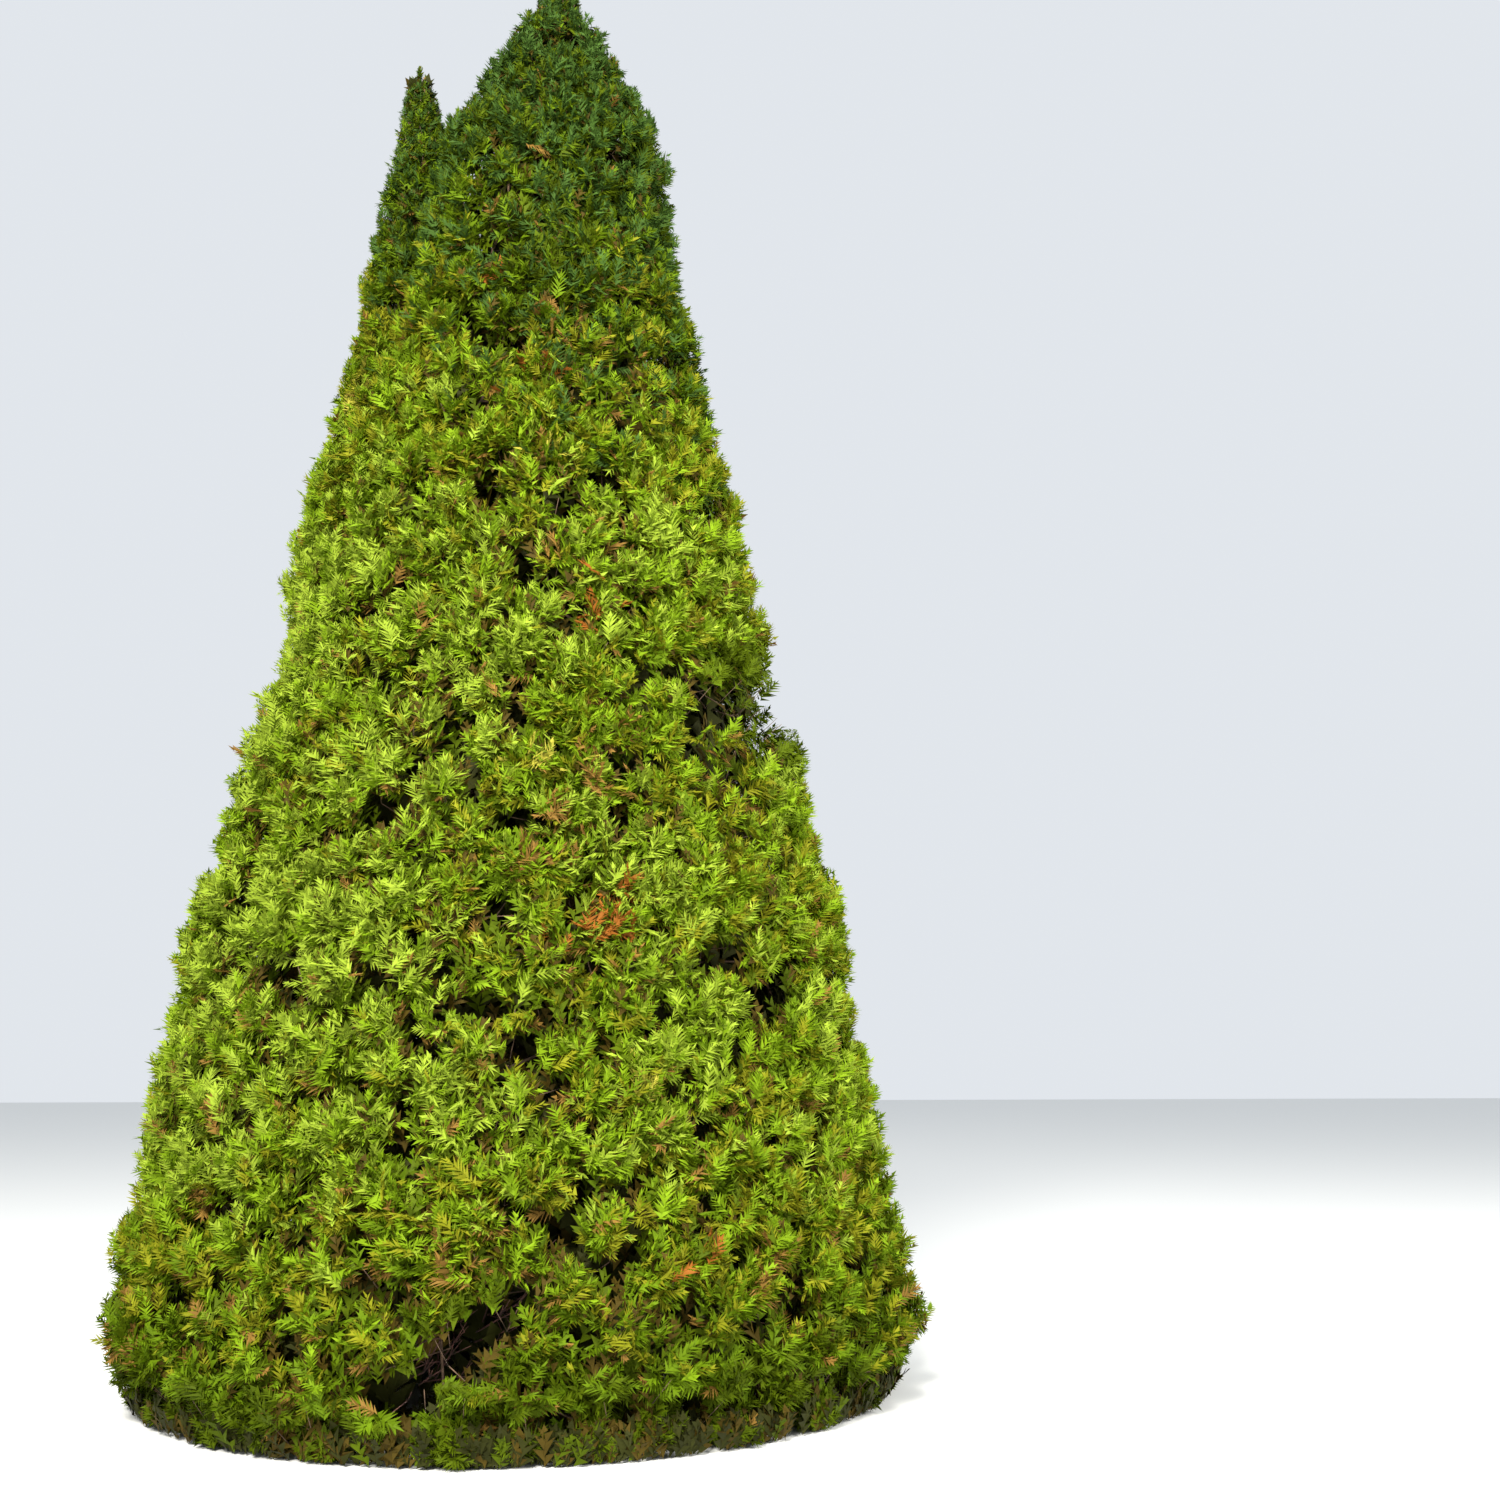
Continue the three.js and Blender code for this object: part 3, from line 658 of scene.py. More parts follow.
def bough_curve(mass):
    """The three points of a bough's curve, from the trunk's axis to just inside its mass."""
    reach = norm(mass.centre - mass.axis)
    tip = mass.axis + mass.out * (mass.inner + BOUGH_SINK)
    tip[2] = mass.centre[2] - (reach - mass.inner) * BOUGH_RISE
    fall = norm(tip - mass.axis) * BOUGH_RISE * BOUGH_STEEPNESS
    foot = line_at(TRUNK_LINE, max(LOWEST_BOUGH, tip[2] - fall))
    middle = (foot + tip) / 2
    middle[2] -= BOUGH_SAG * norm(tip - foot)
    return foot, middle, tip


def bezier(curve, share):
    foot, middle, tip = curve
    return foot * (1 - share) ** 2 + middle * 2 * share * (1 - share) + tip * share ** 2


def bark_relief(angles, distance, seed):
    """Fibrous ridges that wander and break as they run along a limb, between -1 and 1."""
    rng = np.random.default_rng(seed)
    relief = np.zeros_like(angles)
    for ridges, depth, pace in BARK_RIDGES:
        first, second, third = rng.uniform(0, math.tau, 3)
        wander = 0.5 * np.sin(pace * distance + first) + 0.3 * np.sin(2.7 * pace * distance + second)
        breaks = 0.65 + 0.35 * np.sin(5.3 * pace * distance + 2 * angles + third)
        relief += depth * breaks * np.sin(ridges * angles + wander * 3)
    return relief / sum(depth for _, depth, _ in BARK_RIDGES)


def tube_faces(steps, sides):
    """Faces of a tube of rings, closed by a fan at each end."""
    top = steps * sides
    end = top + sides
    around = [(index, (index + 1) % sides) for index in range(sides)]
    faces = []
    for low in range(0, top, sides):
        high = low + sides
        faces += [(low + a, low + b, high + b, high + a) for a, b in around]
    for a, b in around:
        faces += [(b, a, end), (top + a, top + b, end + 1)]
    return faces


def add_limb(name, node, centre_at, radius_at, length, bark, seed, level=False):
    """A closed tube along a curve with bark relief, its rings level or square to the curve."""
    shares = np.linspace(0, 1, bark.steps + 1)
    centres = np.array([centre_at(share) for share in shares])
    tangents = np.tile(UP, (bark.steps + 1, 1)) if level else unit(np.gradient(centres, axis=0))
    side = unit(np.cross(tangents, AWAY if abs(tangents[0, 2]) > 0.9 else UP))
    third = np.cross(side, tangents)
    angles = np.arange(bark.sides) * math.tau / bark.sides
    along, around = np.meshgrid(shares, angles, indexing="ij")
    radius = radius_at(along, around) * (1 + bark.relief * bark_relief(around, along * length, seed))
    points = (
        centres[:, None]
        + side[:, None] * (radius * np.cos(around))[..., None]
        + third[:, None] * (radius * np.sin(around))[..., None]
    )
    vertices = np.vstack([points.reshape(-1, 3), centres[0], centres[-1]])
    mesh = bpy.data.meshes.new(name)
    mesh.from_pydata(vertices.tolist(), [], tube_faces(bark.steps, bark.sides))
    mesh.shade_smooth()
    mesh.update()
    add_piece(name, mesh, [trunk_bark], [node])


def trunk_radius(along, angle):
    fall = np.exp(-along * TRUNK_LENGTH / FLARE.height)
    lobes = 1 + FLARE.lobe_depth * np.cos(FLARE.lobes * angle + FLARE.turn)
    return lerp(TRUNK_RADIUS, TRUNK_TIP_RADIUS, along ** TRUNK_TAPER) * (1 + FLARE.growth * fall * lobes)


# Materials
def new_material(name):
    material = bpy.data.materials.new(name)
    material.use_nodes = True
    return material, material.node_tree.nodes["Principled BSDF"]


def new_node(material, kind, **values):
    """A node with its number inputs set, named with _ for a space."""
    node = material.node_tree.nodes.new(f"ShaderNode{kind}")
    for name, value in values.items():
        node.inputs[name.replace("_", " ")].default_value = value
    return node


def noise_output(material, scale, detail, stretch=(1, 1, 1)):
    link = material.node_tree.links.new
    mapping = new_node(material, "Mapping", Scale=stretch)
    noise = new_node(material, "TexNoise", Scale=scale, Detail=detail)
    link(new_node(material, "TexCoord").outputs["Object"], mapping.inputs["Vector"])
    link(mapping.outputs["Vector"], noise.inputs["Vector"])
    return noise.outputs["Fac"]


def dress_material(material, shader, colour, stops, relief, roughness, strength, distance):
    """Colour by one noise, and roughness and bump by the same one or another."""
    link = material.node_tree.links.new
    ramp = new_node(material, "ValToRGB")
    while len(ramp.color_ramp.elements) < len(stops):
        ramp.color_ramp.elements.new(0.5)
    for element, (position, tone) in zip(ramp.color_ramp.elements, stops):
        element.position = position
        element.color = (*tone, 1)
    low, high = roughness
    reach = new_node(material, "MapRange", To_Min=low, To_Max=high)
    bump = new_node(material, "Bump", Strength=strength, Distance=distance)
    link(colour, ramp.inputs["Fac"])
    link(ramp.outputs["Color"], shader.inputs["Base Color"])
    link(relief, reach.inputs["Value"])
    link(reach.outputs["Result"], shader.inputs["Roughness"])
    link(relief, bump.inputs["Height"])
    link(bump.outputs["Normal"], shader.inputs["Normal"])


def foliage_material(name, colour):
    """Scaly foliage: one base colour, a little lighter and darker from spray to spray."""
    material, shader = new_material(name)
    stops = [(0.3, [value * 0.8 for value in colour]), (0.7, [min(1, value * 1.2) for value in colour])]
    blotches = noise_output(material, scale=9, detail=3)
    scales = noise_output(material, scale=160, detail=2)
    dress_material(
        material, shader, blotches, stops, scales, roughness=(0.5, 0.75), strength=0.5, distance=0.002,
    )
    shader.inputs["Specular IOR Level"].default_value = 0.06
    return material


def bark_material(name, shades, stretch=(1, 1, 1)):
    """Fibrous bark, in shades by how deep its fibres lie."""
    material, shader = new_material(name)
    fibres = noise_output(material, scale=26, detail=6, stretch=stretch)
    dress_material(
        material, shader, fibres, shades, fibres, roughness=(0.8, 0.95), strength=0.7, distance=0.006,
    )
    return material


foliage_materials = [foliage_material(f"foliage_{name}", tone) for name, tone in FOLIAGE_COLOURS.items()]
trunk_bark = bark_material(
    "trunk_bark", [(0.25, (0.06, 0.035, 0.024)), (0.5, (0.17, 0.10, 0.07)), (0.75, (0.32, 0.24, 0.19))],
    (1, 1, 0.12),
)
bare_bark = bark_material("bare_bark", [(0.3, (0.03, 0.012, 0.01)), (0.7, (0.12, 0.045, 0.032))])
twig_bark = bark_material("twig_bark", [(0.3, (0.06, 0.035, 0.02)), (0.7, (0.19, 0.115, 0.07))])


# Pieces
def new_object(name, data):
    item = bpy.data.objects.new(name, data)
    bpy.context.scene.collection.objects.link(item)
    return item


def add_piece(name, mesh, materials, replaced):
    for material in materials:
        mesh.materials.append(material)
    piece = new_object(name, mesh)
    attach(piece, "root")
    if replaced:
        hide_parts(*replaced)


def triangle_mesh(name, vertices, triangles, classes=None):
    mesh = bpy.data.meshes.new(name)
    mesh.vertices.add(len(vertices))
    mesh.vertices.foreach_set("co", vertices.astype(np.float32).ravel())
    mesh.loops.add(triangles.size)
    mesh.loops.foreach_set("vertex_index", triangles.astype(np.int32).ravel())
    mesh.polygons.add(len(triangles))
    mesh.polygons.foreach_set("loop_start", np.arange(0, triangles.size, 3, dtype=np.int32))
    if classes is not None:
        mesh.polygons.foreach_set("material_index", classes.astype(np.int32))
    mesh.update(calc_edges=True)
    mesh.validate()
    return mesh


def make_limbs():
    add_limb(
        "trunk_bark_relief", "trunk", lambda share: catmull_rom(TRUNK_LINE, share), trunk_radius,
        TRUNK_LENGTH, TRUNK_BARK, seed=1, level=True,
    )
    add_limb(
        "second_leader_bark_relief", "second_leader", lambda share: catmull_rom(leader_line, share),
        lambda along, angle: lerp(LEADER_RADIUS, LEADER_TIP_RADIUS, along),
        LEADER_LENGTH, LEADER_BARK, seed=2,
    )
    for index, mass in enumerate(masses):
        if not mass.bough_radius:
            continue
        curve = bough_curve(mass)
        mass.bough_tip = curve[2]
        add_limb(
            f"bough_{mass.label}_bark", f"bough_{mass.label}", lambda share: bezier(curve, share),
            lambda along, angle: mass.bough_radius * lerp(1, BOUGH_TIP_SHARE, along),
            norm(curve[2] - curve[0]), BOUGH_BARK, seed=10 + index,
        )


# Twigs
def stem_start(mass):
    """Where a mass's stem starts: its bough's tip, or a place on the trunk or second leader."""
    if mass.bough_radius:
        return mass.bough_tip
    if mass.inner is None:
        return mass.crown.line[-1]
    rise = norm(mass.centre - mass.axis) * BOUGH_RISE + STEM_DROP
    return line_at(mass.crown.line, mass.centre[2] - rise)


def branch_twigs(mass, seed):
    """Stem and first twigs of a mass by the source's rule, and the nodes that finer twigs grow from."""
    rng = np.random.default_rng(seed)
    heart = mass.centre
    start = stem_start(mass)
    nodes = [lerp(start, heart, share) for share in STEM_FORKS]
    twigs = [(start, heart, STEM_RADIUS, TWIG_RADIUS)]
    sites = growth_sites(mass)
    headings = growth_headings(mass, sites, rng)
    depth = BRANCH_DEPTH * growth_scale(mass, sites)[:, None]
    roots = sites - headings * depth
    roots[:, 2] = np.maximum(roots[:, 2], LOWEST_BRANCH)
    for root in sorted(roots, key=lambda point: norm(point - heart)):
        node = min(nodes, key=lambda point: norm(point - root))
        twigs.append((node, root, TWIG_RADIUS, TWIG_TIP_RADIUS))
        nodes += [lerp(node, root, share) for share in TWIG_NODES]
    return twigs, np.array(nodes)


def plume_field(mass, seed):
    """Plumes on a mass: the middle of each one's face, the ways it looks, its heading and its size."""
    rng = np.random.default_rng(seed)
    sites = plume_sites(mass)
    other = LEADER_CROWN if mass.crown is MAIN_CROWN else MAIN_CROWN
    sites = sites[overshoot(other, sites) > -HIDDEN_DEPTH]
    scale = plume_scale(mass, sites)
    out, _ = outward(mass, sites)
    face = unit(out - UP * outline_slope(mass.crown.outline, sites[:, 2])[:, None])
    side = np.cross(UP, out)
    rise = np.cross(face, side)
    radius = crown_radius(mass, sites)
    jitter = swing(rng, PLUME_JITTER, (2, len(sites), 1)) * scale[:, None]
    depth = surface_depth(sites) + rng.uniform(0, RAGGED_DEPTH, len(sites))
    depth *= np.clip(radius / EVEN_RADIUS - EVEN_SHARE, 0, 1)
    tips = sites + side * jitter[0] + rise * jitter[1] - face * depth[:, None]
    return Values(
        tips=tips, face=face, side=side, rise=rise, scale=scale, depth=depth, radius=radius,
        size=scale * rng.uniform(*PLUME_SIZES, len(sites)), headings=growth_headings(mass, sites, rng),
        rng=rng,
    )


# Sprays
def spray_lobes(pairs):
    """Corners of the lobes of a spray of length one: two on its axis and the tip of each."""
    lobes = []
    step = PAIRED_SHARE / pairs
    for pair in range(pairs):
        for side in (-1, 1):
            place = step * (pair + 0.5 + LOBE.stagger * side)
            length = LOBE.length * math.sin(math.pi * (0.2 + 0.72 * place))
            angle = math.radians(lerp(*LOBE.angles, place))
            tip = (place + length * math.cos(angle), side * length * math.sin(angle), 0)
            lobes.append([(place - step / 2, 0, LOBE.tilt), (place + step / 2, 0, -LOBE.tilt), tip])
    foot, tip = END_LOBE
    lobes.append([(foot, -END_LOBE_WIDTH * step, 0), (foot, END_LOBE_WIDTH * step, 0), (tip, 0, 0)])
    return np.array(lobes).reshape(-1, 3)


SPRAY_POINTS = spray_lobes(pairs=7)
COARSE_POINTS = spray_lobes(pairs=3)


def placed(shape, sprays, curls):
    """The points of a shape at each spray's root, heading and normal, curled along its length."""
    side = np.cross(sprays.normals, sprays.headings)[:, None]
    shape = shape * sprays.lengths[:, None, None]
    reach = np.sum(shape[..., :2] ** 2, axis=-1) / sprays.lengths[:, None]
    lift = shape[..., 2] + curls[:, None] * reach
    return (
        sprays.roots[:, None] + shape[..., :1] * sprays.headings[:, None] + shape[..., 1:2] * side
        + lift[..., None] * sprays.normals[:, None]
    )


def spray_vertices(points, sprays, rng):
    """Points of every spray, each with its own ragged lobes."""
    ragged = swing(rng, LOBE.ragged, (len(sprays.roots), *points.shape))
    ragged[:, :, 2] *= LOBE.ragged_lift
    return placed(points + ragged, sprays, rng.uniform(*SPRAY_CURLS, len(sprays.roots)))


def picked(kept, **arrays):
    """The kept places of every array, as one list."""
    return Values(**{name: array[kept] for name, array in arrays.items()})


def dome_places(plumes, count):
    """Places spread over each plume's rounded face, which hangs back at its foot."""
    shape = (len(plumes.tips), count)
    index = np.arange(count)
    reach = np.sqrt((index + plumes.rng.random(shape)) / count)
    angle = index * PLUME_TURN + swing(plumes.rng, PLUME_TURN_JITTER, shape)
    side, rise, face = (way[:, None] for way in (plumes.side, plumes.rise, plumes.face))
    radial = np.cos(angle)[..., None] * side + np.sin(angle)[..., None] * rise
    spread_out = radial * reach[..., None]
    foot = np.clip(-np.sin(angle), 0, 1) * reach
    size = plumes.size[:, None]
    sink = size * (PLUME_BULGE * reach ** 2 + PLUME_OVERHANG * foot)
    points = plumes.tips[:, None] + spread_out * (PLUME_REACH * size)[..., None] - face * sink[..., None]
    kept = plumes.rng.random(shape) < plumes.scale[:, None] ** COUNT_POWER
    return Values(
        shape=shape, index=index, reach=reach, height=np.sin(angle) * reach, side=side, rise=rise,
        face=face, spread_out=spread_out, points=points, kept=kept,
    )


def plume_sprays(plumes):
    """Sprays over each plume's rounded face, and some sunk below them, with painted light by their place on
    the plume and painted shade on those below.
    """
    rng = plumes.rng
    way, flat = SPRAY_HEADING, SPRAY_NORMAL
    dome = dome_places(plumes, SPRAYS)
    below = (dome.index % UNDER.every == UNDER.every - 1) * 1.0
    under = below * UNDER.depth + swing(rng, UNDER.jitter, dome.shape)
    under *= plumes.size[:, None]
    jitter = swing(rng, 1, (*dome.shape, 3)) * way.jitter
    sideways = dome.side * swing(rng, way.sideways, (*dome.shape, 1))
    outward_way = dome.rise * way.rise + dome.face * way.face + dome.spread_out * way.spread
    headings = unit(outward_way + sideways + jitter)
    turned = dome.side * swing(rng, flat.sideways, (*dome.shape, 1))
    upward = dome.face * flat.face + dome.spread_out * flat.spread + turned + dome.rise * flat.rise
    lengths = SPRAY_LENGTH * plumes.scale[:, None] ** LENGTH_POWER * rng.uniform(*SPRAY_SIZES, dome.shape)
    # Painted light: lighter toward the top of the plume's face and darker toward its rim; painted shade on
    # the sprays below
    light = PAINTED_PLUME_LIGHT.middle - dome.reach * PAINTED_PLUME_LIGHT.reach + PAINTED_PLUME_LIGHT.height * dome.height
    return picked(
        dome.kept, headings=headings, normals=square_to(upward, headings), lengths=lengths,
        roots=dome.points - dome.face * under[..., None] - headings * (SPRAY_INSET * lengths)[..., None],
        light=light - PAINTED_PLUME_LIGHT.below * below, depth=np.broadcast_to(plumes.depth[:, None], dome.shape),
    )


def coarse_sprays(plumes, layer):
    """Coarse sprays behind the plumes, as old inner foliage."""
    rng = plumes.rng
    dome = dome_places(plumes, layer.count)
    depth = rng.uniform(*layer.depths, dome.shape) * plumes.scale[:, None]
    depth = np.minimum(depth, COARSE.deepest * plumes.radius[:, None])
    sideways = dome.side * swing(rng, COARSE.sideways, (*dome.shape, 1))
    headings = unit(dome.rise + dome.face * COARSE.face + sideways)
    normals = square_to(dome.face + swing(rng, COARSE.jitter, (*dome.shape, 3)), headings)
    lengths = layer.length * plumes.scale[:, None] ** LENGTH_POWER * rng.uniform(*COARSE.sizes, dome.shape)
    roots = dome.points - dome.face * depth[..., None] - headings * (COARSE.inset * lengths)[..., None]
    return picked(dome.kept, roots=roots, headings=headings, normals=normals, lengths=lengths)


def twig_geometry(twigs):
    """Three-sided tapering twigs as vertices and triangles."""
    starts, ends, thick, thin = (np.array(column) for column in zip(*twigs))
    heading = unit(ends - starts)
    upright = np.abs(heading[:, 2:]) > 0.8
    side = square_to(np.where(upright, AWAY, UP), heading)
    third = np.cross(heading, side)
    rings = []
    for centre, radius in ((starts, thick), (ends, thin)):
        for turn in range(3):
            angle = turn * math.tau / 3
            offset = side * math.cos(angle) + third * math.sin(angle)
            rings.append(centre + offset * radius[:, None])
    vertices = np.stack(rings, axis=1).reshape(-1, 3)
    faces = [(0, 1, 4), (0, 4, 3), (1, 2, 5), (1, 5, 4), (2, 0, 3), (2, 3, 5), (0, 2, 1), (3, 4, 5)]
    triangles = np.arange(len(twigs))[:, None, None] * 6 + np.array(faces)
    return vertices, triangles.reshape(-1, 3)


def painted_place_shade(points):
    """Painted shade: how much darker the foliage is made by its place on the tree."""
    across, height = points[:, 0], points[:, 2]
    shade = sum(most * share_past(height, start, reach) for most, start, reach in PAINTED_HEIGHT_SHADES)
    shade += PAINTED_SHADE.right * np.clip(across, -1, 1)
    shade += PAINTED_SHADE.left_foot * share_past(across, PAINTED_SHADE.left_edge, -1) * share_past(height, FOOT_HEIGHT, -1)
    middle = np.exp(-((across / PAINTED_SHADE.width) ** 2)) * share_past(height, TOP_HEIGHT, 1)
    return shade + PAINTED_SHADE.middle * middle


def tone_and_painted_light(sprays, rng):
    """How light each spray is: its own tone by blotches and chance, and painted light and shade by its
    plume, its depth and its place on the tree.
    """
    points = sprays.roots
    light = sum(strength * waves(points, size, seed) for size, strength, seed in BLOTCHES)
    light += rng.normal(0, SPECKLE, len(points))
    own = PAINTED_PLUME_LIGHT.weight * (sprays.light - PAINTED_PLUME_LIGHT.even)
    light += own - RECESS_SHADE_WEIGHT * (sprays.depth - EVEN_DEPTH)
    return light - painted_place_shade(points)


def colour_classes(sprays, rng):
    """The colour class of each spray: greens by how light it is, partly painted light, then the turned
    foliage.
    """
    points = sprays.roots
    across, height = points[:, 0], points[:, 2]
    light = tone_and_painted_light(sprays, rng)
    classes = np.full(len(points), CLASS["green"])
    classes[light > BRIGHT_ABOVE] = CLASS["bright"]
    for name, limit in DARKER_BELOW:
        classes[light < limit] = CLASS[name]
    # Painted shade: the cool, bluer green on the less lit sprays toward the top, less on the left
    cool = COOL_SHADE.top * share_past(height, TOP_HEIGHT, COOL_SHADE.reach) + COOL_SHADE.left * np.clip(across, -1, 0)
    classes[(rng.random(len(points)) < cool) & (light < COOL_SHADE.below)] = CLASS["cool"]
    patches = np.clip(waves(points, BROWN.size, seed=7), 0, 1)
    brown = BROWN.least + BROWN.more * patches * (sprays.light < BROWN.light)
    brown *= np.clip((BROWN.height - height) / BROWN.reach, BROWN.top, 1)
    classes[rng.random(len(points)) < brown] = CLASS["brown"]
    for place, reach, kind in tints:
        gap = norm(points - place, axis=1)
        near = rng.random(len(points)) < np.exp(-((gap / reach) ** 2))
        classes[near] = CLASS[kind]
    # Painted shade: dim foliage in and around the openings
    classes[in_hollow(points, PAINTED_SHADE_PLACES)] = CLASS["dim"]
    return classes


def dealt_classes(shares, count, rng):
    """Colour classes of coarse sprays, dealt out by their shares: dark, shade, dim and deep, painted shade
    on old inner foliage.
    """
    return rng.choice([CLASS[name] for name in LAYER_CLASSES], count, p=shares)


def raised(vertices):
    """Sprays that dip a little below the ground, lifted until they clear it."""
    lift = np.clip(CLEARANCE - vertices[..., 2].min(axis=1), 0, MOST_LIFT)
    return vertices + UP * lift[:, None, None]


def allowed(mass, vertices):
    """Which sprays stay above the ground, within the crown and out of its openings."""
    middles = vertices.mean(axis=1)
    grow = ragged_edge(middles, share=0.22, wavelength=0.16, seed=8)
    keep = vertices[..., 2].min(axis=1) > CLEARANCE / 2
    radius = crown_radius(mass, middles)
    slack = lerp(TIP_SLACK, OUTLINE_SLACK, np.clip(radius / STEEP_RADIUS, 0, 1))
    keep &= overshoot(mass.crown, vertices).max(axis=1) < slack
    return keep & ~in_hollow(middles, openings, grow)


def fine_twigs(plumes, nodes):
    """Twigs from the branches' nodes to each plume's root and on into the plume."""
    twigs = []
    roots = plumes.tips - plumes.headings * (PLUME_LENGTH * plumes.scale)[:, None]
    roots[:, 2] = np.maximum(roots[:, 2], LOWEST_TWIG)
    for root, heading, scale in zip(roots, plumes.headings, plumes.scale):
        node = nodes[np.argmin(norm(nodes - root, axis=1))]
        twigs.append((node, root, FINE_TWIG.radius, FINE_TWIG.fork_radius))
        tip = root + heading * PLUME_LENGTH * scale * FINE_TWIG.end
        twigs.append((root, tip, FINE_TWIG.fork_radius, FINE_TWIG.tip_radius))
    return twigs


def bare_twigs():
    """Dead reddish twigs that fork through the low opening."""
    rng = np.random.default_rng(BARE_TWIG.count)
    twigs = []
    for index in range(BARE_TWIG.count):
        centre, size = LOW_OPENING[index % len(LOW_OPENING)]
        start = np.array(centre) + np.array(size) * swing(rng, BARE_TWIG_SPREAD, 3)
        start[1] = centre[1] + BARE_TWIG.depth * rng.uniform(0.5, 1)
        start[2] = max(start[2], LOWEST_TWIG)
        way = unit(rng.uniform(*BARE_TWIG_WAYS))
        fork = start + way * BARE_TWIG.length * rng.uniform(0.4, 0.8)
        twigs.append((start, fork, BARE_TWIG.radius, BARE_TWIG.fork_radius))
        for _ in range(BARE_TWIG.forks):
            turned = unit(way + swing(rng, BARE_TWIG.sway, 3))
            tip = fork + turned * BARE_TWIG.length * rng.uniform(0.3, 0.6)
            tip[2] = max(tip[2], LOWEST_TWIG_TIP)
            twigs.append((fork, tip, BARE_TWIG.fork_radius, FINE_TWIG.tip_radius))
    return twigs


def dress_mass(mass, index):
    """Sprays and coarse inner sprays of one mass, each kind with its colour classes, and its twigs."""
    twigs, nodes = branch_twigs(mass, FIRST_MASS_SEED + index)
    plumes = plume_field(mass, FIRST_MASS_SEED + index)
    rng = plumes.rng
    sprays = plume_sprays(plumes)
    vertices = raised(spray_vertices(SPRAY_POINTS, sprays, rng))
    grow = ragged_edge(sprays.roots, share=0.25, wavelength=0.12, seed=9)
    keep = allowed(mass, vertices) & ~in_hollow(sprays.roots, clefts, grow)
    classes = colour_classes(sprays, rng)
    inner = []
    dark = []
    for layer in LAYERS:
        coarse = raised(spray_vertices(COARSE_POINTS, coarse_sprays(plumes, layer), rng))
        coarse = coarse[allowed(mass, coarse) & ~in_hollow(coarse.mean(axis=1), clefts)]
        inner.append(coarse)
        # Painted shade: the coarse sprays take the dark classes of their layer
        dark.append(dealt_classes(layer.shares, len(coarse), rng))
    return Values(
        part=mass.part, node=mass.name, sprays=(vertices[keep], classes[keep]),
        inner=(np.concatenate(inner), np.concatenate(dark)), twigs=twigs + fine_twigs(plumes, nodes),
    )


def dress_hem():
    """Coarse sprays that close the foot of the crown, all round, dark as painted shadow."""
    rng = np.random.default_rng(HEM.count)
    turns = (np.arange(HEM.count) + rng.random(HEM.count)) * math.tau / HEM.count
    out = np.stack([np.cos(turns), np.sin(turns), 0 * turns], axis=1)
    radius = CROWN_OUTLINE[0, 1] - lerp(*HEM.depths, rng.random(HEM.count) ** 3)
    sway = swing(rng, HEM.sway, (HEM.count, 3)) * (1, 1, 0)
    headings = unit(UP + out * HEM.lean + sway)
    sprays = Values(
        roots=out * radius[:, None], headings=headings, normals=square_to(out, headings),
        lengths=HEM.length * rng.uniform(*SPRAY_SIZES, HEM.count),
    )
    vertices = raised(spray_vertices(COARSE_POINTS, sprays, rng))
    return vertices, dealt_classes(HEM.shares, HEM.count, rng)


def add_leaves(name, leaves, replaced=None):
    """One piece from groups of sprays, each with its colour classes."""
    vertices = np.concatenate([points for points, _ in leaves])
    corners = vertices.shape[1]
    classes = np.repeat(np.concatenate([kinds for _, kinds in leaves]), corners // 3)
    triangles = np.arange(len(vertices) * corners).reshape(-1, 3)
    mesh = triangle_mesh(name, vertices.reshape(-1, 3), triangles, classes)
    add_piece(name, mesh, foliage_materials, replaced)


def add_twigs(name, twigs, bark):
    add_piece(name, triangle_mesh(name, *twig_geometry(twigs)), [bark], None)


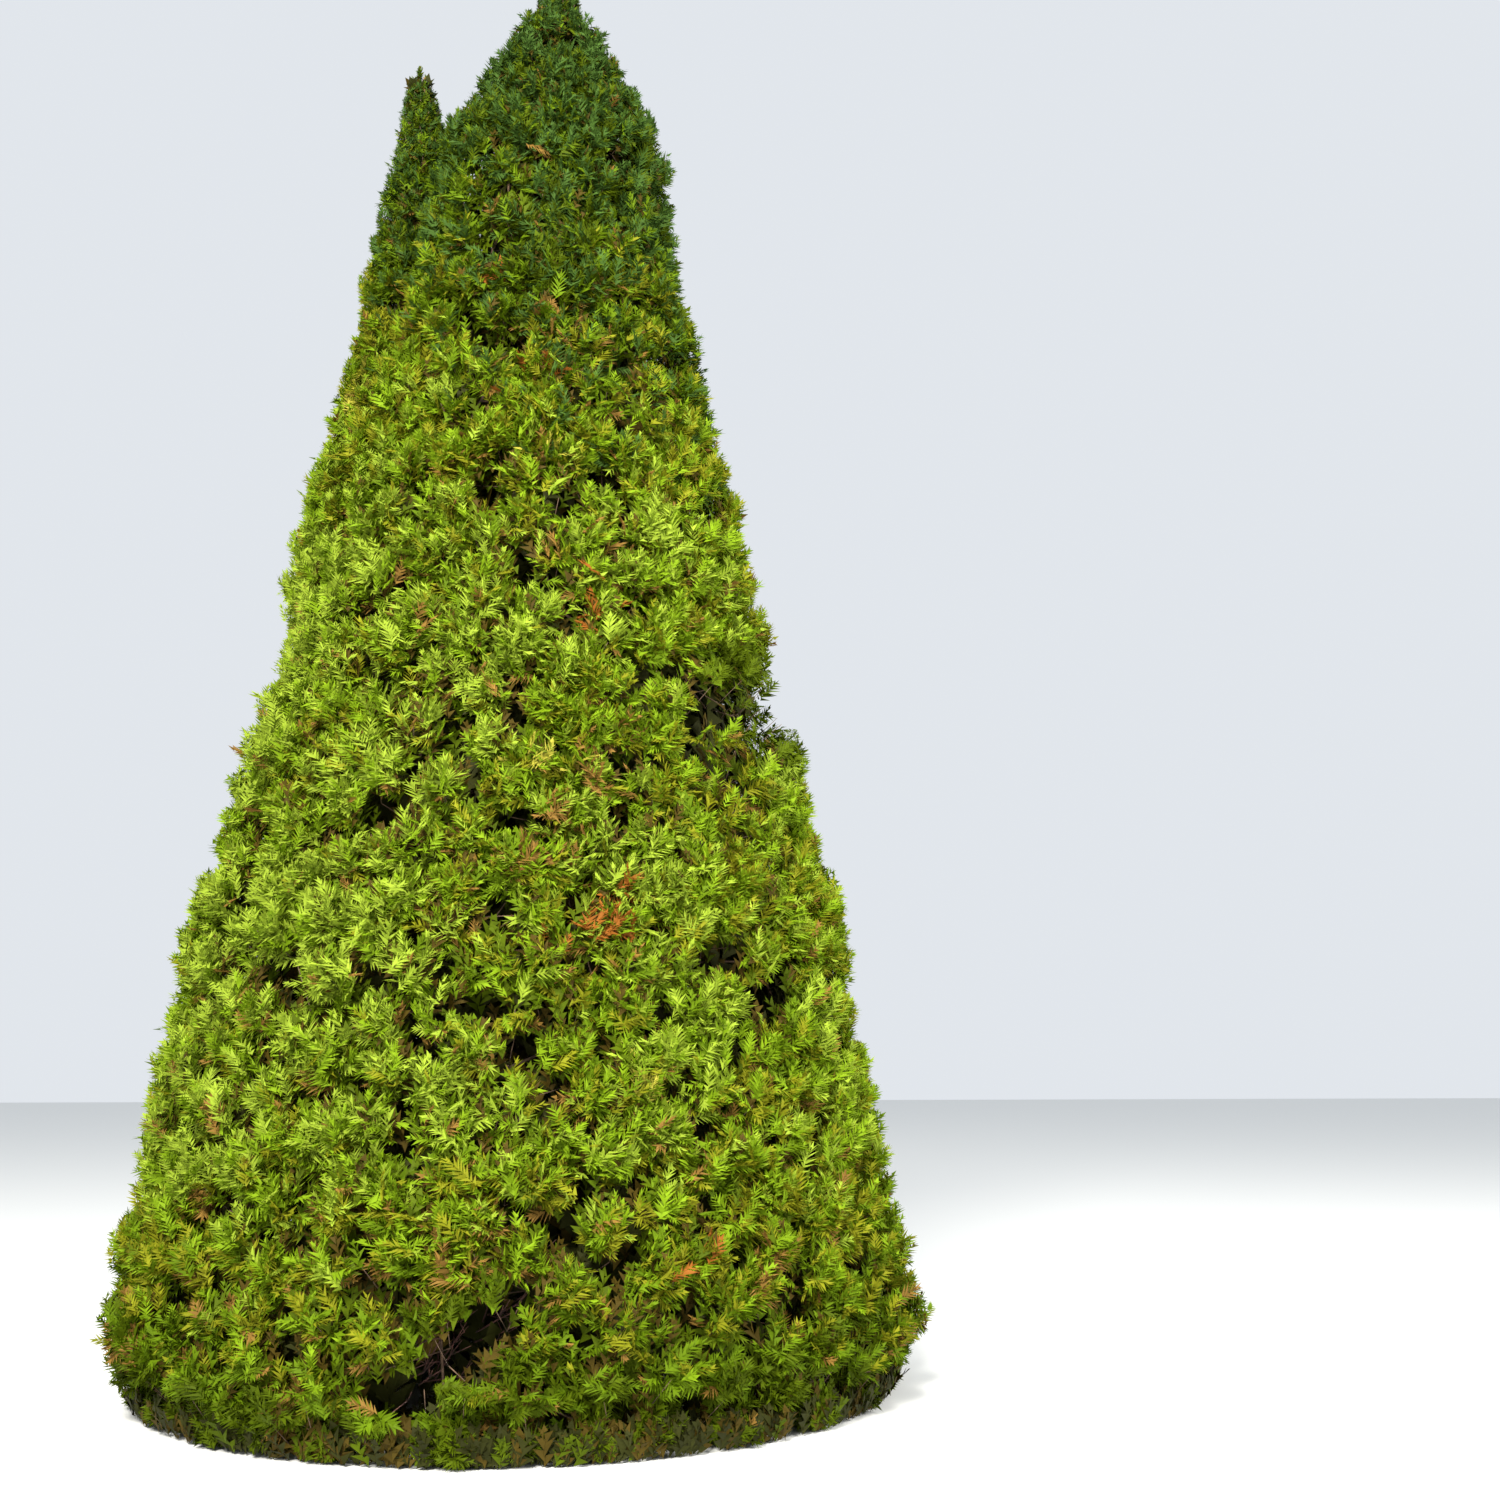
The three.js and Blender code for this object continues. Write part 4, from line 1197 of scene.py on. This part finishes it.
def make_foliage():
    dressed_masses = [dress_mass(mass, index) for index, mass in enumerate(masses)]
    for part in dict.fromkeys(mass.part for mass in masses):
        ring = [dressed for dressed in dressed_masses if dressed.part == part]
        nodes = [dressed.node for dressed in ring]
        add_leaves(f"sprays_{part}_1", [dressed.sprays for dressed in ring], nodes)
    inner = [dressed.inner for dressed in dressed_masses]
    add_leaves("inner_foliage_low", [dress_hem(), *inner[:LOW_MASSES]])
    add_leaves("inner_foliage_high", inner[LOW_MASSES:])
    add_twigs("twigs", [twig for dressed in dressed_masses for twig in dressed.twigs], twig_bark)
    add_twigs("bare_twigs", bare_twigs(), bare_bark)


# Floor, light and camera
def make_floor():
    mesh = bpy.data.meshes.new("floor")
    corners = [(x * FLOOR_REACH, y * FLOOR_REACH, 0) for x, y in ((-1, -1), (1, -1), (1, 1), (-1, 1))]
    mesh.from_pydata(corners, [], [(0, 1, 2, 3)])
    material, shader = new_material("floor_pale")
    shader.inputs["Base Color"].default_value = (0.72, 0.73, 0.72, 1)
    shader.inputs["Roughness"].default_value = 0.9
    mesh.materials.append(material)
    floor = new_object("floor", mesh)


def add_area_light(name, place, target, size, power, colour):
    light = bpy.data.lights.new(name, "AREA")
    light.size = size
    light.energy = power
    light.color = colour
    lamp = new_object(name, light)
    way = np.array(target) - np.array(place)
    turn = math.atan2(way[1], way[0]) - math.pi / 2
    tilt = math.atan2(way[2], math.hypot(way[0], way[1])) + math.pi / 2
    lamp.location = place
    lamp.rotation_euler = (tilt, 0, turn)


def make_light():
    world = bpy.data.worlds.new("studio")
    bpy.context.scene.world = world
    world.use_nodes = True
    background = world.node_tree.nodes["Background"]
    background.inputs["Color"].default_value = (0.84, 0.88, 0.93, 1)
    background.inputs["Strength"].default_value = 0.9
    add_area_light("key", (-4.5, -15, 13), (0, 0, 3.5), size=5, power=8600, colour=(1, 0.96, 0.88))
    add_area_light("side", (12, -9, 9), (0, 0, 3), size=5, power=3000, colour=(1, 0.97, 0.92))
    bpy.context.scene.view_settings.view_transform = "Standard"


def make_camera():
    camera = bpy.data.cameras.new("camera")
    camera.lens = 40.8
    camera.sensor_width = 36
    camera.clip_end = 300
    viewer = new_object("camera", camera)
    viewer.location = (0, -DISTANCE, EYE_HEIGHT)
    viewer.rotation_euler = (math.radians(90 + PITCH), 0, math.radians(-YAW))
    bpy.context.scene.camera = viewer


make_limbs()
make_foliage()
make_floor()
make_light()
make_camera()
